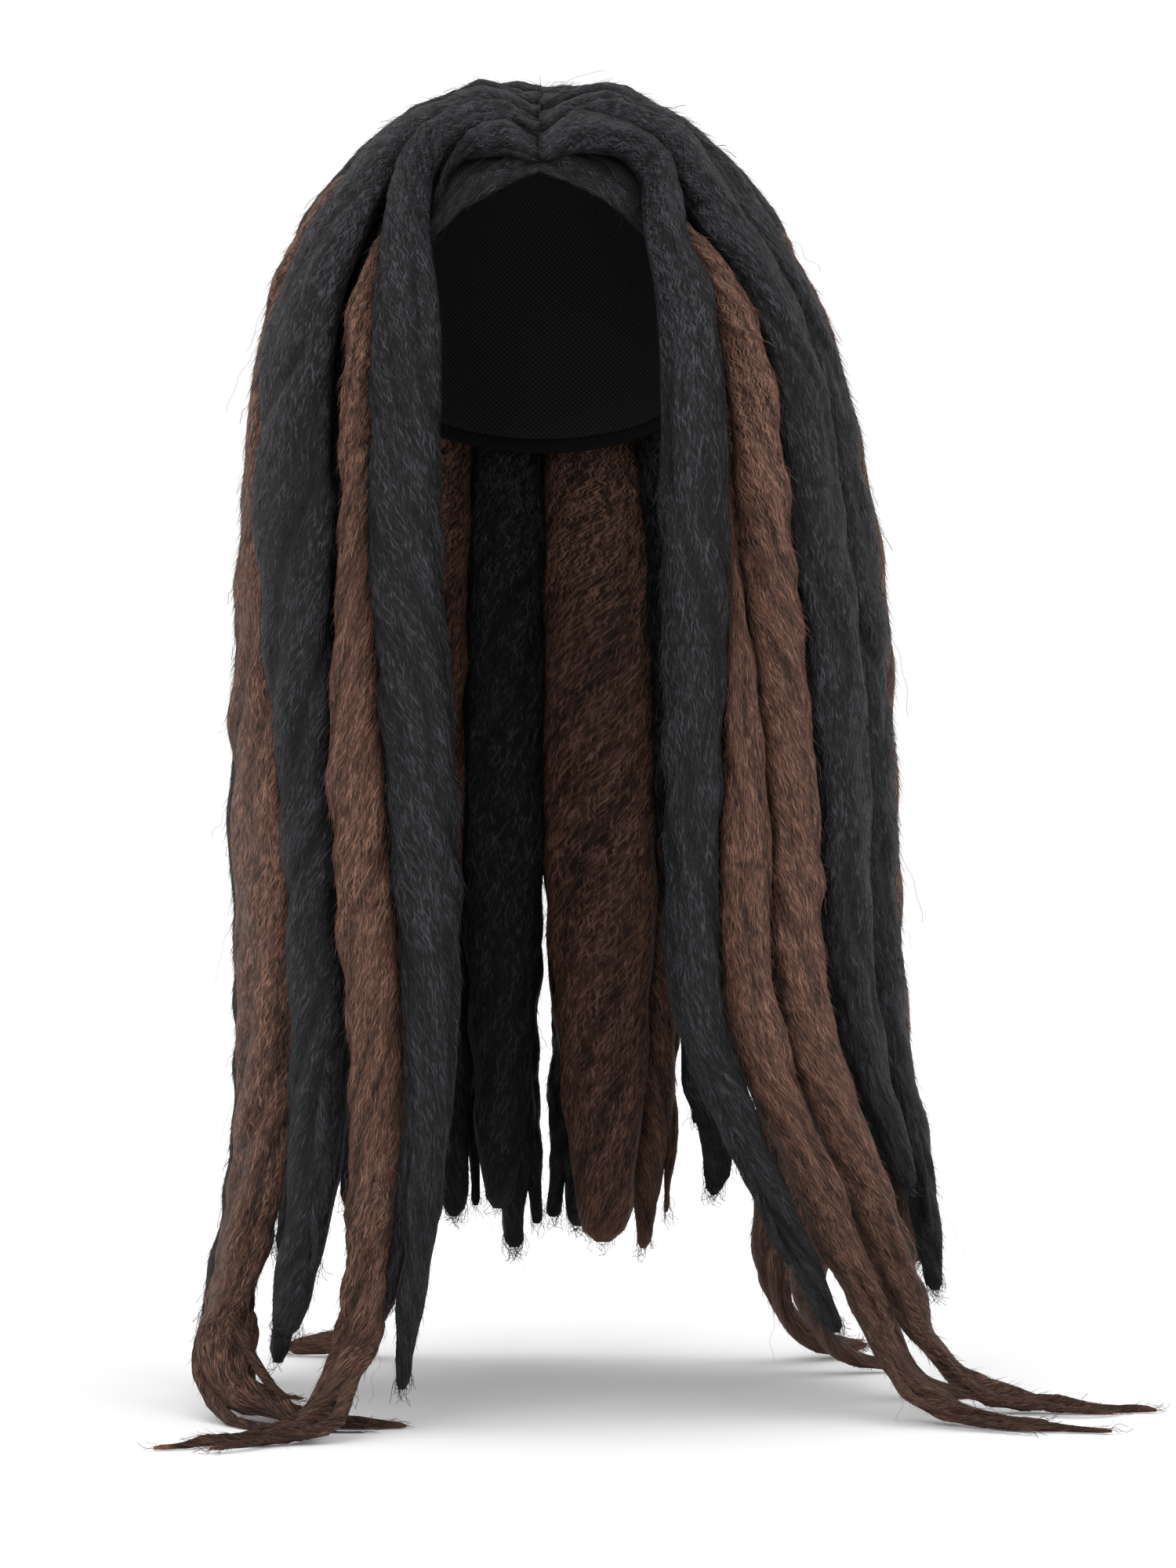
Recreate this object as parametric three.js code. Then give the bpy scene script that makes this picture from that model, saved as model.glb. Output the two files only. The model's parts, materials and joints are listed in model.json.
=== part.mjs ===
// A dreadlock wig as it hangs when worn: a hollow cap with a bound edge, and thick locks of crimped hair.
// The locks fall from a centre parting in two layers. Each lock fills its own lane of a layer, so neighbours
// share a lane edge and never meet. The longest reach the level surface far below the cap and lie along it.
// Millimetres, +Z up, the opening for the face is towards -Y. The origin is the top of the cap's hollow.
import * as THREE from "three";

// The hollow of the cap, and the height of its crown above the surface that the tails lie on
const hollowWidth = 154;
const hollowLength = 194;
const crownHeight = 100;
const crownAboveFloor = 555;

// The cap and the elastic that binds its edge
const capWall = 1.8;
const bindingWidth = 6;
const bindingThickness = 2;
const bindingGap = 1.2;
const seatGap = 0.65;
const rootGap = 0.5;
// Polar angle of the cap's edge every ten degrees from the front: over the brow, then down behind the ears
const capEdgeEvery10 = [43.5, 42, 41, 44, 64, 75, 81, 85, 88, 91, 94, 97, 100, 103, 105, 107, 108, 109, 109];

// The locks: thickness of each layer where it hangs, the gap between neighbours, and the shape of the tips
const outerThickness = 22;
const innerThickness = 18;
const laneGap = 2;
const floorGap = 0.5;
const layerGap = 1.6;
const thickestShare = 1.3;
const thinnest = 3;
const partingGap = 1.2;
const tipTaper = 220;
const tipShare = 0.34;
const tipLength = 7;
const tailLength = 100;
const tailTaper = 260;
const tailTipShare = 0.2;
const rootReach = 34;
const rootShare = 0.15;
const rootLead = 0.4;

// Mesh density
const lockSides = 8;
const crownStep = 15;
const hangingStep = 50;
const crownReach = 330;
const tailStep = 24;
const tailLead = 70;
const capColumns = 36;
const capRows = 9;

const degrees = Math.PI / 180;
const floorZ = -crownAboveFloor;
const hangHeight = crownAboveFloor - crownHeight;
const lockBase = Math.max(capWall, bindingThickness) + seatGap;

// The levels that every lane passes, counted from 0 at the parting to 11 just above the floor.
// On the crown a level is a line over the cap from the front (first value) past the ear to the nape (last):
// azimuth turns from the front, polar leans from the crown, both in degrees.
const crownLevels = [
  { azimuth: [0, 0, 0], polar: [-49, -12, 30] },
  { azimuth: [11, 66, 180], polar: [47, 17, 35] },
  { azimuth: [21, 84, 180], polar: [46, 27, 41] },
  { azimuth: [38, 88, 180], polar: [49, 45, 54] },
  { azimuth: [32, 90, 180], polar: [68, 66, 70] },
];
// Below the crown a level is an oval round the hollow: drop is a share of the height between its widest part
// and the floor, and the rest say how far the oval stands outside it, as shares of its width.
const hangingLevels = [
  { drop: 0.0, right: 0.0, left: 0.04, front: 0.0, back: 0.0 },
  { drop: 0.2, right: 0.05, left: 0.16, front: 0.01, back: 0.03 },
  { drop: 0.42, right: 0.07, left: 0.2, front: 0.02, back: 0.05 },
  { drop: 0.62, right: 0.07, left: 0.24, front: 0.04, back: 0.06 },
  { drop: 0.78, right: 0.1, left: 0.33, front: 0.06, back: 0.08 },
  { drop: 0.9, right: 0.19, left: 0.39, front: 0.08, back: 0.1 },
  { drop: 0.985, right: 0.24, left: 0.45, front: 0.1, back: 0.12 },
];
// Azimuth of the hair's edge beside the face opening at the hanging levels, in degrees
const faceEdge = {
  right: [26, 24, 19, 18, 20, 22, 22],
  left: [31, 26, 26, 25, 36, 47, 52],
};
// How thick each layer is at each level, as a share of its thickness where it hangs, and how much of the
// inner layer stands under the outer one
const layerRise = [
  { outer: 0.4, inner: 0.3, under: 0.0 },
  { outer: 0.66, inner: 0.3, under: 0.04 },
  { outer: 0.74, inner: 0.3, under: 0.06 },
  { outer: 0.8, inner: 0.4, under: 0.3 },
  { outer: 0.9, inner: 0.55, under: 0.62 },
  { outer: 1.0, inner: 0.92, under: 1.0 },
  { outer: 1.0, inner: 1.0, under: 1.08 },
];
const levelCount = crownLevels.length + hangingLevels.length;
const hemLevel = levelCount - 2;
// Share of the way from the front to the nape over which the inner layer starts under the outer one
const liftShare = 0.26;
// Share of that way at which the inner layer begins
const innerStart = 0.2;

// The locks from the front to the nape. widths are lane widths at the five levels below, against each other.
// root is the level where the lock starts and end the one where its tip hangs. A lock with a tail leaves its
// lane at the hem to lie on the floor: the tail's share of tailLength, its heading in degrees from sideways
// towards the front, and how far it turns.
const widthLevels = [0, 4.5, 5.8, 7, 10];
const outerRight = [
  { name: "hairline", colour: "black", widths: [13, 0, 0, 0, 0], root: 0, end: 3.4 },
  { name: "front", colour: "black", widths: [12, 19, 18, 17, 9], root: 0, end: 10.7 },
  { name: "cheek", colour: "brown", widths: [0, 7, 6, 11, 10], root: 3.4, tail: [1.05, 75, -60] },
  { name: "temple", colour: "black", widths: [13, 29, 26, 12, 20], root: 0, end: 10.2 },
  { name: "side", colour: "brown", widths: [0, 18, 18, 26, 19], root: 2.5, tail: [1.05, 80, 110] },
  { name: "crown", colour: "black", widths: [16, 12, 13, 14, 20], root: 0, end: 10.3 },
  { name: "ear", colour: "brown", widths: [0, 12, 13, 13, 20], root: 3.2, tail: [0.55, 75, 20] },
  { name: "rear", colour: "black", widths: [17, 12, 13, 14, 15], root: 0, end: 9.8 },
  { name: "behind", colour: "black", widths: [17, 12, 13, 14, 13], root: 0, end: 9.2 },
  { name: "low", colour: "brown", widths: [0, 12, 13, 14, 13], root: 3.2, tail: [0.5, -30, 20] },
  { name: "back", colour: "black", widths: [17, 12, 13, 14, 13], root: 0, end: 9.6 },
  { name: "nape", colour: "black", widths: [16, 12, 13, 14, 12], root: 0, end: 9.9 },
];
const outerLeft = [
  { name: "front", colour: "black", widths: [14, 15, 15, 11, 11], root: 0, end: 10.2 },
  { name: "jaw", colour: "brown", widths: [0, 1, 2, 9, 8], root: 3.7, tail: [1.12, 50, -30] },
  { name: "cheek", colour: "brown", widths: [0, 8, 8, 10, 11], root: 3.3, tail: [1.05, 12, -12] },
  { name: "temple", colour: "black", widths: [16, 14, 14, 16, 12], root: 0, end: 9.1 },
  { name: "side", colour: "black", widths: [16, 15, 15, 15, 13], root: 0, end: 10 },
  { name: "ear", colour: "brown", widths: [0, 12, 13, 14, 14], root: 3.4, end: 9.8 },
  { name: "crown", colour: "black", widths: [16, 14, 14, 14, 15], root: 0, end: 9.9 },
  { name: "rear", colour: "black", widths: [16, 14, 14, 14, 12], root: 0, end: 9.6 },
  { name: "low", colour: "brown", widths: [0, 14, 14, 14, 12], root: 3.2, tail: [0.5, -20, -20] },
  { name: "behind", colour: "black", widths: [17, 14, 14, 14, 12], root: 0, end: 9.4 },
  { name: "back", colour: "brown", widths: [0, 13, 13, 14, 11], root: 3.2, end: 9.9 },
  { name: "nape", colour: "black", widths: [17, 14, 14, 14, 11], root: 0, end: 9.7 },
];
const innerRight = [
  { name: "front", colour: "black", widths: [20, 20, 20, 20, 20], root: 3.6, end: 10.6 },
  { name: "temple", colour: "brown", widths: [20, 20, 20, 20, 20], root: 3.6, end: 9.6 },
  { name: "ear", colour: "brown", widths: [20, 20, 20, 20, 20], root: 3.6, end: 9.9 },
  { name: "rear", colour: "black", widths: [20, 20, 20, 20, 20], root: 3.6, end: 9.4 },
  { name: "back", colour: "brown", widths: [20, 20, 20, 20, 20], root: 3.6, end: 9.8 },
  { name: "nape", colour: "black", widths: [20, 20, 20, 20, 20], root: 3.6, end: 9.5 },
];
const innerLeft = [
  { name: "front", colour: "brown", widths: [20, 20, 20, 20, 20], root: 3.6, tail: [0.6, -10, 0] },
  { name: "ear", colour: "black", widths: [20, 20, 20, 20, 20], root: 3.6, end: 10.8 },
  { name: "rear", colour: "brown", widths: [20, 20, 20, 20, 20], root: 3.6, tail: [0.4, -10, 0] },
  { name: "back", colour: "black", widths: [20, 20, 20, 20, 20], root: 3.6, end: 9.3 },
  { name: "nape", colour: "brown", widths: [20, 20, 20, 20, 20], root: 3.6, end: 9.8 },
];

const materials = {
  black: new THREE.MeshStandardMaterial({ color: 0x2c2c2e, roughness: 0.75, metalness: 0 }),
  brown: new THREE.MeshStandardMaterial({ color: 0x5b453d, roughness: 0.75, metalness: 0 }),
  net: new THREE.MeshStandardMaterial({ color: 0x1c1c1e, roughness: 0.9, metalness: 0 }),
  elastic: new THREE.MeshStandardMaterial({ color: 0x222225, roughness: 0.85, metalness: 0 }),
};

const mix = (a, b, t) => a + (b - a) * t;
const clamp01 = (t) => Math.min(1, Math.max(0, t));
const ease = (t) => clamp01(t) ** 2 * (3 - 2 * clamp01(t));

/** The value at t of the parabola through a value at 0, one half and 1. */
function through([start, middle, end], t) {
  return start * (1 - t) * (1 - 2 * t) + middle * 4 * t * (1 - t) + end * t * (2 * t - 1);
}

/** The value between the rows of a list at a place that may lie between two rows. */
function along(values, place) {
  const low = Math.min(values.length - 2, Math.max(0, Math.floor(place)));
  return mix(values[low], values[low + 1], clamp01(place - low));
}

/** A point standing off the surface of the hollow, and the way out there. x is mirrored by the side. */
function offHollow(azimuth, polar, side, standOff) {
  const unit = new THREE.Vector3(
    side * Math.sin(polar) * Math.sin(azimuth),
    -Math.sin(polar) * Math.cos(azimuth),
    Math.cos(polar),
  );
  const radii = new THREE.Vector3(hollowWidth / 2, hollowLength / 2, crownHeight);
  const out = unit.clone().divide(radii).normalize();
  const point = unit.multiply(radii).addScaledVector(out, standOff);
  point.z -= crownHeight;
  return { point, out };
}

/** A point of one level, share of the way from front to nape, standing off the hollow or its drape. */
function onLevel(level, sideName, share, standOff) {
  const side = sideName === "left" ? 1 : -1;
  if (level < crownLevels.length) {
    const row = crownLevels[level];
    const spot = offHollow(
      through(row.azimuth, share) * degrees,
      Math.abs(through(row.polar, share)) * degrees,
      side,
      standOff,
    );
    if (level > 0) return spot;
    const polar = through(row.polar, share) * degrees;
    const parting = offHollow(polar < 0 ? 0 : Math.PI, Math.abs(polar), side, standOff);
    parting.point.x = (side * partingGap) / 2;
    return parting;
  }
  const row = hangingLevels[level - crownLevels.length];
  const edge = faceEdge[sideName][level - crownLevels.length] * degrees;
  const azimuth = mix(edge, Math.PI, share);
  const facing = (1 - Math.cos(azimuth)) / 2;
  const wide = hollowWidth * (0.5 + row[sideName]) + standOff;
  const deep = hollowLength / 2 + hollowWidth * mix(row.front, row.back, facing) + standOff;
  const point = new THREE.Vector3(
    side * wide * Math.sin(azimuth),
    -deep * Math.cos(azimuth),
    -crownHeight - row.drop * hangHeight,
  );
  const out = new THREE.Vector3(side * Math.sin(azimuth) * deep, -Math.cos(azimuth) * wide, 0);
  return { point, out: out.normalize() };
}

/** How a layer stands at a level: its distance from the hollow, and its thickness. */
function layerAt(layer, level, share) {
  const row = layerRise[Math.min(level, layerRise.length - 1)];
  if (layer === "inner") return { under: lockBase + seatGap / 2, thickness: innerThickness * row.inner };
  const lift = ease(share / liftShare) * row.under * (innerThickness + layerGap);
  return { under: lockBase + lift, thickness: outerThickness * row.outer };
}

/** The two edges of a lane at a level, as shares of the way from the front to the nape. */
function laneEdges(rows, index, level, start) {
  const place = widthLevels.findIndex((mark) => mark > level);
  const next = place < 0 ? widthLevels.length - 1 : place;
  const widths = rows.map((row) => {
    const from = Math.max(widthLevels[next - 1], row.widths[next - 1] > 0 ? 0 : row.root - rootLead);
    return mix(row.widths[next - 1], row.widths[next], clamp01((level - from) / (widthLevels[next] - from)));
  });
  const total = widths.reduce((sum, width) => sum + width, 0);
  const before = widths.slice(0, index).reduce((sum, width) => sum + width, 0);
  return [before, before + widths[index]].map((width) => mix(start, 1, width / total));
}

/** The frame of a lock at a level of its lane: its centre, and half its width and thickness as directions. */
function laneFrame(rows, index, layer, sideName, level) {
  const [near, far] = laneEdges(rows, index, level, layer === "inner" ? innerStart : 0);
  const middle = (near + far) / 2;
  const { under, thickness: fullThickness } = layerAt(layer, level, middle);
  const edgesAt = (standOff) => [near, far].map((edge) => onLevel(level, sideName, edge, standOff).point);
  const widthBetween = ([first, last]) => Math.max(0, last.distanceTo(first) - laneGap);
  // A narrow lock is no thicker than its width allows, so it lies low between its neighbours
  const thickness = Math.min(fullThickness, widthBetween(edgesAt(under)) * thickestShare + thinnest);
  const standOff = under + thickness / 2;
  const [first, last] = edgesAt(standOff);
  const { point, out } = onLevel(level, sideName, middle, standOff);
  const width = widthBetween([first, last]);
  const centre = first.clone().lerp(last, 0.5);
  centre.addScaledVector(out, point.sub(centre).dot(out));
  const sideways = last.sub(first).setLength(Math.max(0.01, width / 2));
  return { centre, sideways, under, out: out.multiplyScalar(thickness / 2) };
}

/** The frames of a lock's tail: it bends from its lane down onto the floor and runs along it on an arc. */
function tailFrames(last, sideName, [lengthShare, heading, turn]) {
  const side = sideName === "left" ? 1 : -1;
  const reach = [0.12, 0.4, 0.7, 1];
  const settling = [0.35, 0.04, 0, 0];
  const halfWidth = last.sideways.length();
  const halfThickness = last.out.length();
  const spot = last.centre.clone();
  return reach.map((share, step) => {
    const bearing = (heading + turn * share) * degrees;
    const ahead = new THREE.Vector3(side * Math.cos(bearing), -Math.sin(bearing), 0);
    spot.addScaledVector(ahead, tailLength * lengthShare * (share - (reach[step - 1] ?? 0)));
    const above = halfThickness * mix(1, 0.45, share) + settling[step] * (last.centre.z - floorZ);
    return {
      centre: new THREE.Vector3(spot.x, spot.y, floorZ + above),
      sideways: new THREE.Vector3(-ahead.y, ahead.x, 0).multiplyScalar(side * halfWidth),
      under: last.under,
      out: new THREE.Vector3(0, 0, halfThickness),
    };
  });
}

/** The closed body swept through sections, each a ring of points, with a point at each end. */
function sweptBody(rings, firstPoint, lastPoint) {
  const positions = [...rings.flat(), firstPoint, lastPoint].flatMap((p) => [p.x, p.y, p.z]);
  const sides = rings[0].length;
  const index = [];
  const at = (ring, corner) => ring * sides + (corner % sides);
  const firstAt = rings.length * sides;
  for (let corner = 0; corner < sides; corner++) {
    index.push(firstAt, at(0, corner + 1), at(0, corner));
    index.push(firstAt + 1, at(rings.length - 1, corner), at(rings.length - 1, corner + 1));
    for (let ring = 0; ring + 1 < rings.length; ring++) {
      index.push(at(ring, corner), at(ring, corner + 1), at(ring + 1, corner + 1));
      index.push(at(ring, corner), at(ring + 1, corner + 1), at(ring + 1, corner));
    }
  }
  const geometry = new THREE.BufferGeometry();
  geometry.setAttribute("position", new THREE.Float32BufferAttribute(positions, 3));
  geometry.setIndex(index);
  geometry.computeVertexNormals();
  return geometry;
}

/** One lock: a flattened round body that follows its lane, seated on the cap and thinned to its tip. */
function lockGeometry(rows, index, layer, sideName) {
  const row = rows[index];
  const frames = crownLevels.concat(hangingLevels).map((_, level) => {
    return laneFrame(rows, index, layer, sideName, level);
  });
  if (row.tail) frames.splice(hemLevel + 1, 1, ...tailFrames(frames[hemLevel], sideName, row.tail));
  const [route, sideways, out] = ["centre", "sideways", "out"].map((part) => {
    const curve = new THREE.CatmullRomCurve3(frames.map((f) => f[part]), false, "catmullrom", 0.5);
    return (place) => curve.getPoint(place / (frames.length - 1));
  });
  const unders = frames.map((f) => f.under);
  const finish = row.tail ? frames.length - 1 : row.end;

  // A root below the parting starts thin on the cap's wall and rises to its layer
  const riseAt = (distance) => (row.root > 0 ? ease(distance / rootReach) : 1);
  const centreAt = (place, rise, share) => {
    const up = out(place);
    const thinned = up.length() * (1 - share);
    const sunk = (along(unders, place) - capWall - rootGap) * (1 - rise);
    return route(place).addScaledVector(up.normalize(), -thinned - sunk);
  };

  // Walk the route finely to know how far along each place lies
  const fine = 400;
  const places = Array.from({ length: fine + 1 }, (_, i) => mix(row.root, finish, i / fine));
  const marks = [0];
  for (let i = 1; i <= fine; i++) {
    marks.push(marks[i - 1] + route(places[i]).distanceTo(route(places[i - 1])));
  }
  const total = marks[fine];

  // Sections lie close together over the crown and where the tail bends, and further apart between
  const distances = [row.root > 0 ? crownStep / 3 : 0];
  const bend = row.tail ? total - row.tail[0] * tailLength - tailLead : total;
  while (distances[distances.length - 1] < total) {
    const last = distances[distances.length - 1];
    distances.push(last + (last > bend ? tailStep : mix(crownStep, hangingStep, ease(last / crownReach))));
  }
  const fit = (total - tipLength) / distances[distances.length - 1];
  const taper = Math.min(row.tail ? tailTaper : tipTaper, total * 0.4);
  const endShare = row.tail ? tailTipShare : tipShare;
  const rings = distances.map((step) => {
    const distance = step * fit;
    const mark = Math.max(1, marks.findIndex((m) => m > distance));
    const part = (distance - marks[mark - 1]) / (marks[mark] - marks[mark - 1]);
    const place = mix(places[mark - 1], places[mark], part);
    const tip = mix(endShare, 1, Math.min(1, (total - distance) / taper) ** 0.85);
    const rise = riseAt(distance);
    const tucked = mix(rootShare, 1, rise);
    const across = sideways(place).multiplyScalar(tip * tucked);
    const up = out(place).multiplyScalar(mix(tip, 1, 0.2) * tucked);
    const ahead = route(Math.min(finish, place + 0.05)).sub(route(Math.max(row.root, place - 0.05)));
    const turned = new THREE.Vector3().crossVectors(across, up).dot(ahead) > 0 ? 1 : -1;
    const centre = centreAt(place, rise, tucked);
    return Array.from({ length: lockSides }, (_, corner) => {
      const angle = (corner / lockSides) * 2 * Math.PI * turned;
      const point = centre.clone().addScaledVector(across, Math.cos(angle));
      point.addScaledVector(up, Math.sin(angle));
      return point.setZ(Math.max(point.z, floorZ + floorGap));
    });
  });
  return sweptBody(rings, centreAt(row.root, riseAt(0), riseAt(0)), route(finish));
}

/** Polar angle of the cap's edge, by azimuth from the front. */
function capEdge(azimuth) {
  return along(capEdgeEvery10, Math.abs(azimuth) / (10 * degrees)) * degrees;
}

/** The hollow cap: a thin domed wall, open below. */
function capGeometry() {
  const outer = [];
  const inner = [];
  for (let row = 1; row <= capRows; row++) {
    const ring = (standOff) => {
      const points = [];
      for (let column = 0; column < capColumns; column++) {
        const azimuth = (1 - (column / capColumns) * 2) * Math.PI;
        const polar = (capEdge(azimuth) * row) / capRows;
        points.push(offHollow(Math.abs(azimuth), polar, azimuth < 0 ? -1 : 1, standOff).point);
      }
      return points;
    };
    outer.push(ring(capWall));
    inner.unshift(ring(0));
  }
  return sweptBody(
    [...outer, ...inner],
    new THREE.Vector3(0, 0, capWall),
    new THREE.Vector3(0, 0, 0),
  );
}

/** The elastic that binds the cap's edge: a flat loop just below it. */
function bindingGeometry() {
  const positions = [];
  const index = [];
  const corners = 4;
  const meanRadius = (crownHeight + hollowLength / 2) / 2;
  for (let column = 0; column < capColumns; column++) {
    const azimuth = ((column / capColumns) * 2 - 1) * Math.PI;
    const upper = capEdge(azimuth) + bindingGap / meanRadius;
    const lower = upper + bindingWidth / meanRadius;
    const side = azimuth < 0 ? -1 : 1;
    const rim = [
      [upper, bindingThickness],
      [lower, bindingThickness],
      [lower, 0],
      [upper, 0],
    ];
    for (const [polar, standOff] of rim) {
      const { point } = offHollow(Math.abs(azimuth), polar, side, standOff);
      positions.push(point.x, point.y, point.z);
    }
    const next = (column + 1) % capColumns;
    for (let corner = 0; corner < corners; corner++) {
      const a = column * corners + corner;
      const b = column * corners + ((corner + 1) % corners);
      const c = next * corners + ((corner + 1) % corners);
      const d = next * corners + corner;
      index.push(a, b, c, a, c, d);
    }
  }
  const geometry = new THREE.BufferGeometry();
  geometry.setAttribute("position", new THREE.Float32BufferAttribute(positions, 3));
  geometry.setIndex(index);
  geometry.computeVertexNormals();
  return geometry;
}

/** Adds a named mesh to a group. */
function addPiece(group, name, geometry, material) {
  const mesh = new THREE.Mesh(geometry, material);
  mesh.name = name;
  group.add(mesh);
}

/** A group with every lock of one layer on one side of the parting. */
function lockLayer(rows, layer, sideName) {
  const group = new THREE.Group();
  rows.forEach((row, index) => {
    const name = `${layer}_lock_${sideName}_${row.name}`;
    addPiece(group, name, lockGeometry(rows, index, layer, sideName), materials[row.colour]);
  });
  return group;
}

const wig = new THREE.Group();
addPiece(wig, "cap", capGeometry(), materials.net);
addPiece(wig, "edge_binding", bindingGeometry(), materials.elastic);
wig.add(
  lockLayer(outerRight, "outer", "right"),
  lockLayer(outerLeft, "outer", "left"),
  lockLayer(innerRight, "inner", "right"),
  lockLayer(innerLeft, "inner", "left"),
);
export default wig;
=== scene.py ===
"""Dresses the dreadlock wig: locks of crimped fibre on a net cap with a woven edge binding."""

import json
import logging
import math
from dataclasses import dataclass, field
from enum import Enum

import bmesh
import bpy
import numpy as np
from mathutils import Matrix, Vector
from mathutils.bvhtree import BVHTree


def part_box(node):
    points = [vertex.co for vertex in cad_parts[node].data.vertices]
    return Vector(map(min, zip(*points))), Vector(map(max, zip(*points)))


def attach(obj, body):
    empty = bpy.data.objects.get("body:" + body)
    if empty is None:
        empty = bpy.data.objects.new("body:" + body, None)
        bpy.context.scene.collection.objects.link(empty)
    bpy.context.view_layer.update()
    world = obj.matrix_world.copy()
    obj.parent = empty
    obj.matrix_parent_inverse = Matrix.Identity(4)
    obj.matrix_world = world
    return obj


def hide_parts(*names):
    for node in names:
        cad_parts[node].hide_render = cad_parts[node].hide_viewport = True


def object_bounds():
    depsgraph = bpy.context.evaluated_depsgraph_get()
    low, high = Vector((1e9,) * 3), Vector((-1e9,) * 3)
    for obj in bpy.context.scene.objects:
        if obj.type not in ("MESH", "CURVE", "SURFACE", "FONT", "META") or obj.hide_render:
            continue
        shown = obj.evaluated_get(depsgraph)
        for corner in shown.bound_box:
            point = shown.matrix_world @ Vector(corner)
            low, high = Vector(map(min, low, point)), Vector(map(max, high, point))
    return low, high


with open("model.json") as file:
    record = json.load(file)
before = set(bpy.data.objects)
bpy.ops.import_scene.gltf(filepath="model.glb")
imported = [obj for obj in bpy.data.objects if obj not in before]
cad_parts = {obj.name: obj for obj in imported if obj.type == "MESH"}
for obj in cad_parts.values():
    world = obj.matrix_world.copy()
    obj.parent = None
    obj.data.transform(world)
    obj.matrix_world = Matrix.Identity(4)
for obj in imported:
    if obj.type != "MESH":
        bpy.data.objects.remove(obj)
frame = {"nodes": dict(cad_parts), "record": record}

cad_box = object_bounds()
log = logging.getLogger("wig")

MM = 0.001
BODY = "root"
SEED = 41
CAP_MIDDLE = -100 * MM


def linear(red: int, green: int, blue: int) -> tuple[float, float, float, float]:
    """A screen colour, each channel 0 to 255, as the linear colour that shaders take.

    Args:
        red: the red channel.
        green: the green channel.
        blue: the blue channel.

    Returns:
        Red, green, blue and an opaque alpha.
    """
    channels = [channel / 255 for channel in (red, green, blue)]
    values = [c / 12.92 if c <= 0.04045 else ((c + 0.055) / 1.055) ** 2.4 for c in channels]
    return (*values, 1.0)


def unit(vectors: np.ndarray) -> np.ndarray:
    """The vectors along the last axis, each at a length of one."""
    return vectors / np.linalg.norm(vectors, axis=-1, keepdims=True)


def add_object(name: str, data: bpy.types.ID) -> bpy.types.Object:
    """Makes an object of a mesh, a lamp or a camera and adds it to the scene.

    Args:
        name: the object's name.
        data: what it shows.

    Returns:
        The object.
    """
    made = bpy.data.objects.new(name, data)
    bpy.context.scene.collection.objects.link(made)
    return made


@dataclass(frozen=True)
class NodeBench:
    """Adds nodes to one tree and joins them, so that a tree reads as a list of steps."""

    tree: bpy.types.NodeTree

    def add(self, kind: str, feeds: dict | None = None, **settings: object) -> bpy.types.Node:
        """Adds a node.

        Args:
            kind: the node's type name.
            feeds: what each input takes, by the input's name or number: a socket or a plain value.
            settings: the node's own options.

        Returns:
            The new node.
        """
        node = self.tree.nodes.new(kind)
        for name, value in settings.items():
            setattr(node, name, value)
        for key, value in (feeds or {}).items():
            if isinstance(key, int):
                socket = node.inputs[key]
            else:
                socket = next(s for s in node.inputs if s.name == key and s.enabled)
            if isinstance(value, bpy.types.NodeSocket):
                self.tree.links.new(value, socket)
            else:
                socket.default_value = value
        return node

    def out(
        self, kind: str, feeds: dict | None = None, name: str = "", **settings: object
    ) -> bpy.types.NodeSocket:
        """Adds a node and gives one of its outputs.

        Args:
            kind: the node's type name.
            feeds: what each input takes.
            name: the output's name, or else the first output in use is given.
            settings: the node's own options.

        Returns:
            The output.
        """
        node = self.add(kind, feeds, **settings)
        return next(s for s in node.outputs if s.enabled and name in ("", s.name))

    def math(self, operation: str, *values: object) -> bpy.types.NodeSocket:
        """The result of a math operation on up to three numbers or fields."""
        return self.out("ShaderNodeMath", dict(enumerate(values)), operation=operation)


def new_material(name: str) -> tuple[bpy.types.Material, NodeBench, bpy.types.Node]:
    """Makes an empty node material.

    Args:
        name: the material's name.

    Returns:
        The material, a bench on its tree, and its Principled shader, joined to the output.
    """
    material = bpy.data.materials.new(name)
    material.use_nodes = True
    material.node_tree.nodes.clear()
    bench = NodeBench(material.node_tree)
    shader = bench.add("ShaderNodeBsdfPrincipled")
    bench.add("ShaderNodeOutputMaterial", {"Surface": shader.outputs["BSDF"]})
    return material, bench, shader


def ramp(
    bench: NodeBench, value: bpy.types.NodeSocket, stops: list[tuple[float, tuple]]
) -> bpy.types.NodeSocket:
    """A colour ramp over a value.

    Args:
        bench: the bench of the material.
        value: what the ramp reads, from 0 to 1.
        stops: places on the ramp, each with its linear colour.

    Returns:
        The colour output.
    """
    node = bench.add("ShaderNodeValToRGB", {"Fac": value})
    elements = node.color_ramp.elements
    while len(elements) < len(stops):
        elements.new(0.5)
    for element, (place, colour) in zip(elements, stops):
        element.position = place
        element.color = colour
    return node.outputs["Color"]


class Dye(Enum):
    """The colours of the fibre, by the record's material slot."""

    BLACK = "black_hair"
    BROWN = "brown_hair"


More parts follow.
